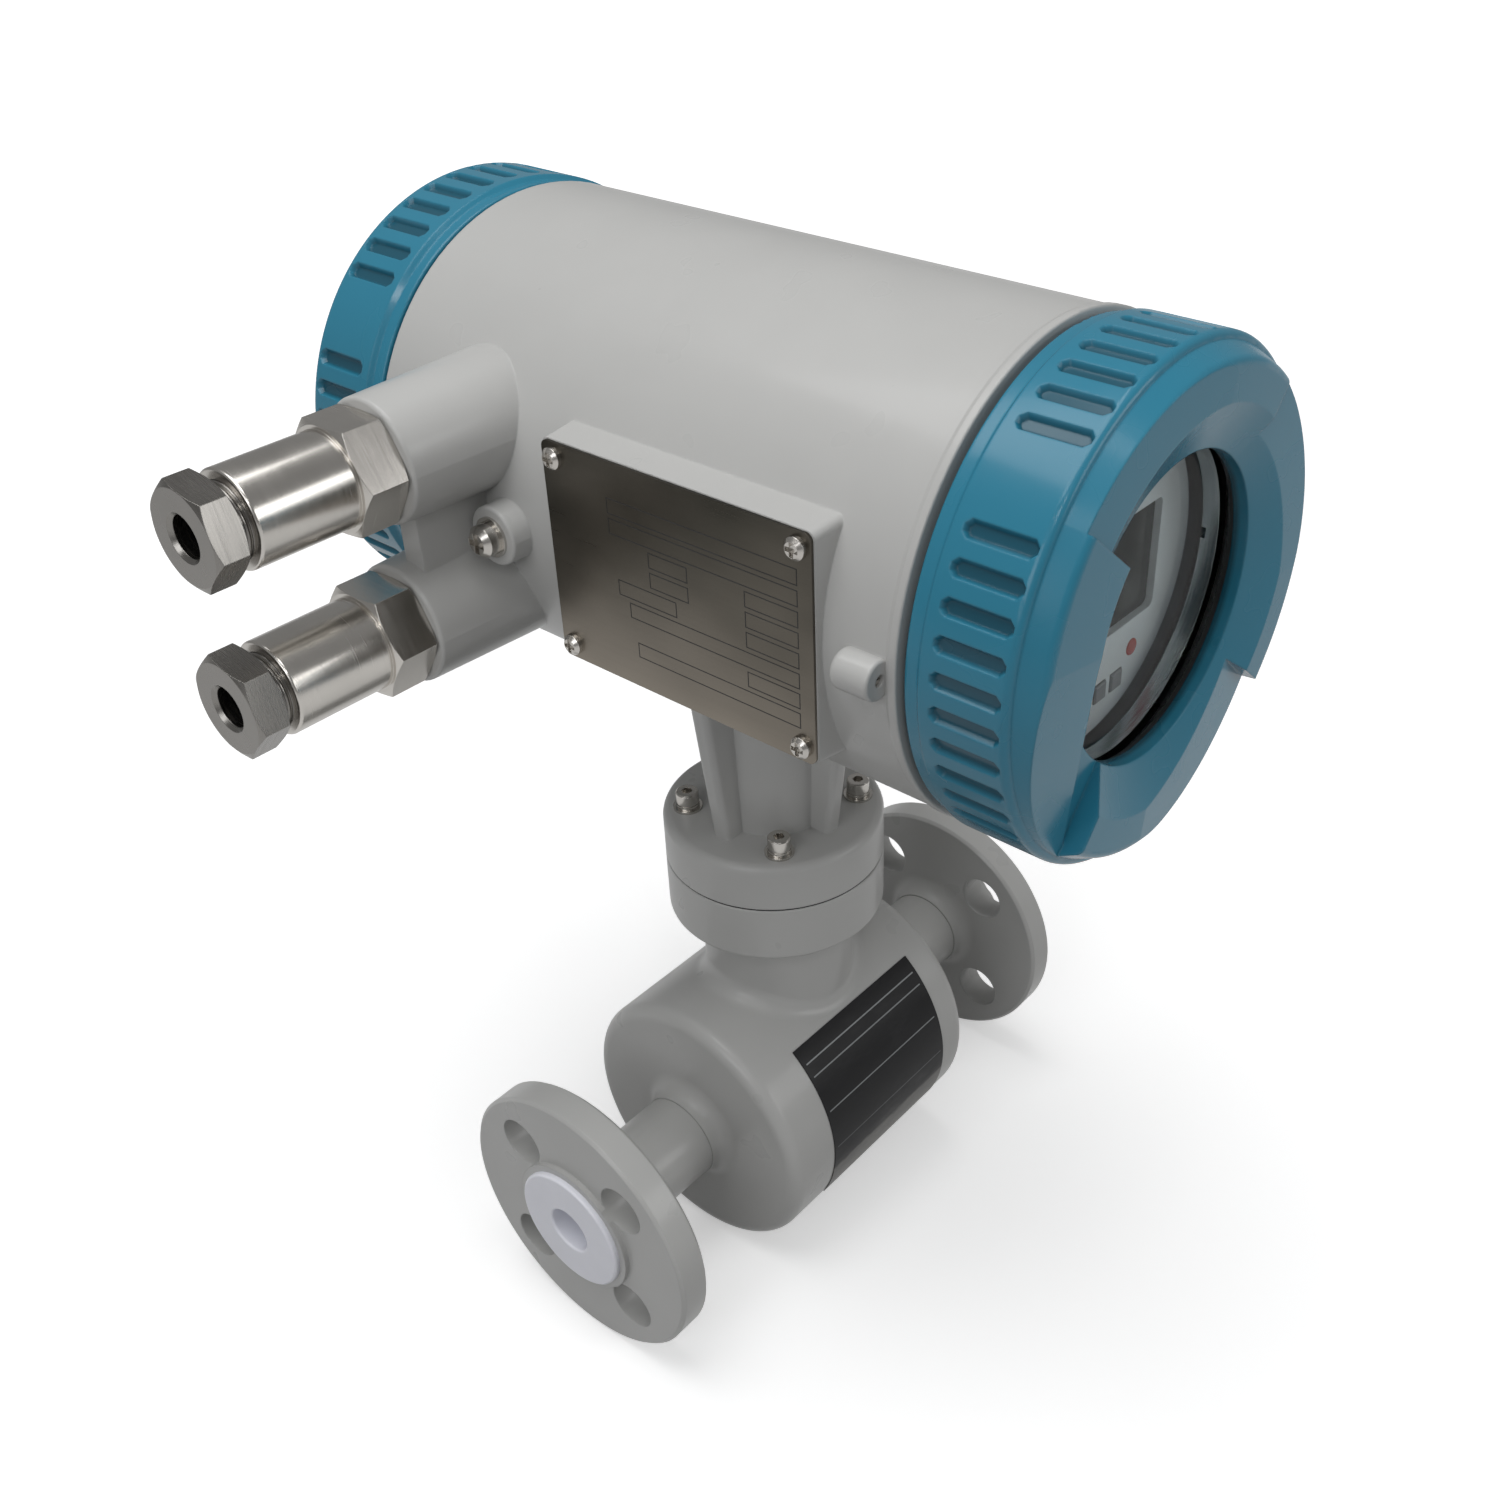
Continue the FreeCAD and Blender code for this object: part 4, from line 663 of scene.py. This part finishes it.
def thread(name, start, turn, root, height, pitch, turns):
    """A right-hand ridge from a start point along the direction that +Z takes after a turn."""
    bpy.ops.mesh.primitive_plane_add(size=1.0, rotation=(radians(90), 0, 0))
    bpy.context.object.scale = (height + THREAD_SINK, pitch * ROOT_SHARE, 1)
    bpy.context.object.location.x = root + (height - THREAD_SINK) / 2
    ridge = settle(name)
    bpy.ops.object.mode_set(mode="EDIT")
    bpy.ops.mesh.select_all(action="DESELECT")
    bpy.ops.object.mode_set(mode="OBJECT")
    for vertex in ridge.data.vertices:
        vertex.select = vertex.co.x > root
    bpy.ops.object.mode_set(mode="EDIT")
    bpy.ops.transform.resize(value=(1, 1, CREST_SHARE))
    bpy.ops.mesh.select_all(action="SELECT")
    bpy.ops.mesh.delete(type="ONLY_FACE")
    bpy.ops.object.mode_set(mode="OBJECT")
    apply_modifier(ridge, "SCREW", axis="Z", angle=2 * pi, screw_offset=pitch, iterations=turns,
                   steps=THREAD_STEPS, render_steps=THREAD_STEPS, use_smooth_shade=False)
    bpy.ops.object.mode_set(mode="EDIT")
    bpy.ops.mesh.select_all(action="SELECT")
    bpy.ops.mesh.fill_holes(sides=4)
    bpy.ops.mesh.normals_make_consistent(inside=False)
    bpy.ops.object.mode_set(mode="OBJECT")
    ridge.location = start
    ridge.rotation_euler = turn
    bpy.ops.object.transform_apply(location=True, rotation=True, scale=True)
    bpy.ops.object.shade_smooth_by_angle(angle=radians(30))
    return ridge


# %% Threads of the gland nuts
ALONG_X = (0, radians(90), 0)
NUT_SHANK_RADIUS = 9.5 * MM
NUT_THREAD_HEIGHT = 0.2 * MM
NUT_THREAD_REACH = 13.2 * MM
NUT_PITCH = 1.5 * MM
NUT_THREAD_TURNS = 7

for level in ("upper", "lower"):
    low, high = (Vector(corner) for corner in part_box("gland_nut_" + level))
    middle = (low + high) / 2
    start = (high.x - NUT_THREAD_REACH, middle.y, middle.z)
    ridge = thread("nut_thread_" + level, start, ALONG_X, NUT_SHANK_RADIUS, NUT_THREAD_HEIGHT,
                   NUT_PITCH, NUT_THREAD_TURNS)
    fit(ridge, "gland_nut_" + level, nut_steel)

# %% Threads of the covers
ALONG_Y = (radians(-90), 0, 0)
AGAINST_Y = (radians(90), 0, 0)
SPIGOT_RADIUS = 56.5 * MM
COVER_THREAD_HEIGHT = 0.35 * MM
COVER_PITCH = 2.0 * MM
COVER_THREAD_TURNS = 5
COVER_THREAD_LENGTH = (COVER_THREAD_TURNS + 0.5) * COVER_PITCH

front_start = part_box("front_cover")[1][1] - COVER_THREAD_LENGTH
rear_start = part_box("rear_cover")[0][1] + COVER_THREAD_LENGTH
for cover, start, turn in (("front_cover", front_start, ALONG_Y), ("rear_cover", rear_start, AGAINST_Y)):
    ridge = thread(cover + "_thread", (0, start, COVER_AXIS_HEIGHT), turn, SPIGOT_RADIUS,
                   COVER_THREAD_HEIGHT, COVER_PITCH, COVER_THREAD_TURNS)
    fit(ridge, cover, turned_aluminium)

# %% [markdown]
# ## Floor
#
# The meter lies on a plain pale floor. It looks white to the camera and glows a little more
# with distance, so that it ends in a white background and still keeps the shadow. For
# diffuse light it stays a mid grey, so the undersides keep their shade.

# %% Floor
FLOOR_HEIGHT = solid_box[0][2]
FLOOR_SEEN = (0.93, 0.93, 0.93)
FLOOR_SHADE = (0.34, 0.34, 0.34)
MIRRORED_GLOW = 0.42
GLOW_FROM, GLOW_TO = 0.3, 1.6
GLOW_LEVEL = 0.38


def add_floor():
    """A large pale floor that keeps the object's shadow."""
    bpy.ops.mesh.primitive_plane_add(size=8.0, location=(0, 0, FLOOR_HEIGHT))
    floor = bpy.context.object
    floor.name = "floor"
    pale = Finish("pale_floor", roughness=0.9, specular_ior_level=0.0)
    path = pale.tree.nodes.new("ShaderNodeLightPath")
    seen = Wire(pale, path.outputs["Is Camera Ray"])
    through = Wire(pale, path.outputs["Is Transmission Ray"])
    mirrored = (Wire(pale, path.outputs["Is Glossy Ray"]) + through).ramp(0, 1)
    across = pale.node("VectorMath", {"operation": "LENGTH"}, {0: pale.place()}, 1)
    glow = across.ramp(GLOW_FROM, GLOW_TO, GLOW_LEVEL, 1.0)
    pale.put("Base Color", pale.blend(seen, FLOOR_SHADE, FLOOR_SEEN))
    pale.put("Emission Color", (1.0, 1.0, 1.0))
    pale.put("Emission Strength", seen * glow + mirrored * MIRRORED_GLOW)
    floor.data.materials.append(pale.material)
    print("floor at z in mm:", round(FLOOR_HEIGHT / MM, 1))


add_floor()

# %% [markdown]
# ## Lamps and world
#
# Large soft lamps stand above, at the left and in front, as in a light tent. A small one
# gives the enamel and the metal their tight highlights. The world is white to the camera
# and a soft grey for the object.

# %% Lamps and world
MIDDLE = (0, 0, 0.12)
WORLD_LEVEL = 0.25
LAMPS = {
    "overhead": {"place": (-0.15, 0.1, 1.25), "size": (0.9, 0.9), "power": 8.6},
    "window": {"place": (-1.1, -0.2, 0.75), "size": (0.7, 0.5), "power": 2.8, "colour": (0.97, 0.98, 1.0)},
    "front_fill": {"place": (0.5, -1.2, 0.6), "size": (0.8, 0.5), "power": 3.2},
    "sparkle": {"place": (-0.55, -0.6, 1.0), "size": (0.1, 0.1), "power": 0.6},
}


def add_area_lamp(name, place, size, power, colour=(1, 1, 1)):
    """A rectangular soft lamp at a place in metres, aimed at the object's middle."""
    bpy.ops.object.light_add(type="AREA", location=place)
    lamp_object = bpy.context.object
    lamp_object.name = name
    lamp_object.data.shape = "RECTANGLE"
    lamp_object.data.size, lamp_object.data.size_y = size
    lamp_object.data.energy = power
    lamp_object.data.color = colour
    aim = Vector(MIDDLE) - Vector(place)
    lamp_object.rotation_euler = aim.to_track_quat("-Z", "Y").to_euler()


def set_world(level):
    """A plain world: white to the camera, and a soft grey light for the object."""
    world = bpy.data.worlds.new("studio")
    bpy.context.scene.world = world
    world.use_nodes = True
    tree = world.node_tree
    path = tree.nodes.new("ShaderNodeLightPath")
    pick = tree.nodes.new("ShaderNodeMapRange")
    pick.inputs["To Min"].default_value = level
    pick.inputs["To Max"].default_value = 1.0
    tree.links.new(path.outputs["Is Camera Ray"], pick.inputs["Value"])
    tree.links.new(pick.outputs["Result"], tree.nodes["Background"].inputs["Strength"])
    tree.nodes["Background"].inputs["Color"].default_value = (1, 1, 1, 1)


for name, settings in LAMPS.items():
    add_area_lamp(name, **settings)
set_world(WORLD_LEVEL)
print("lamps:", ", ".join(LAMPS))

# %% Colour management
bpy.context.scene.view_settings.view_transform = "Standard"
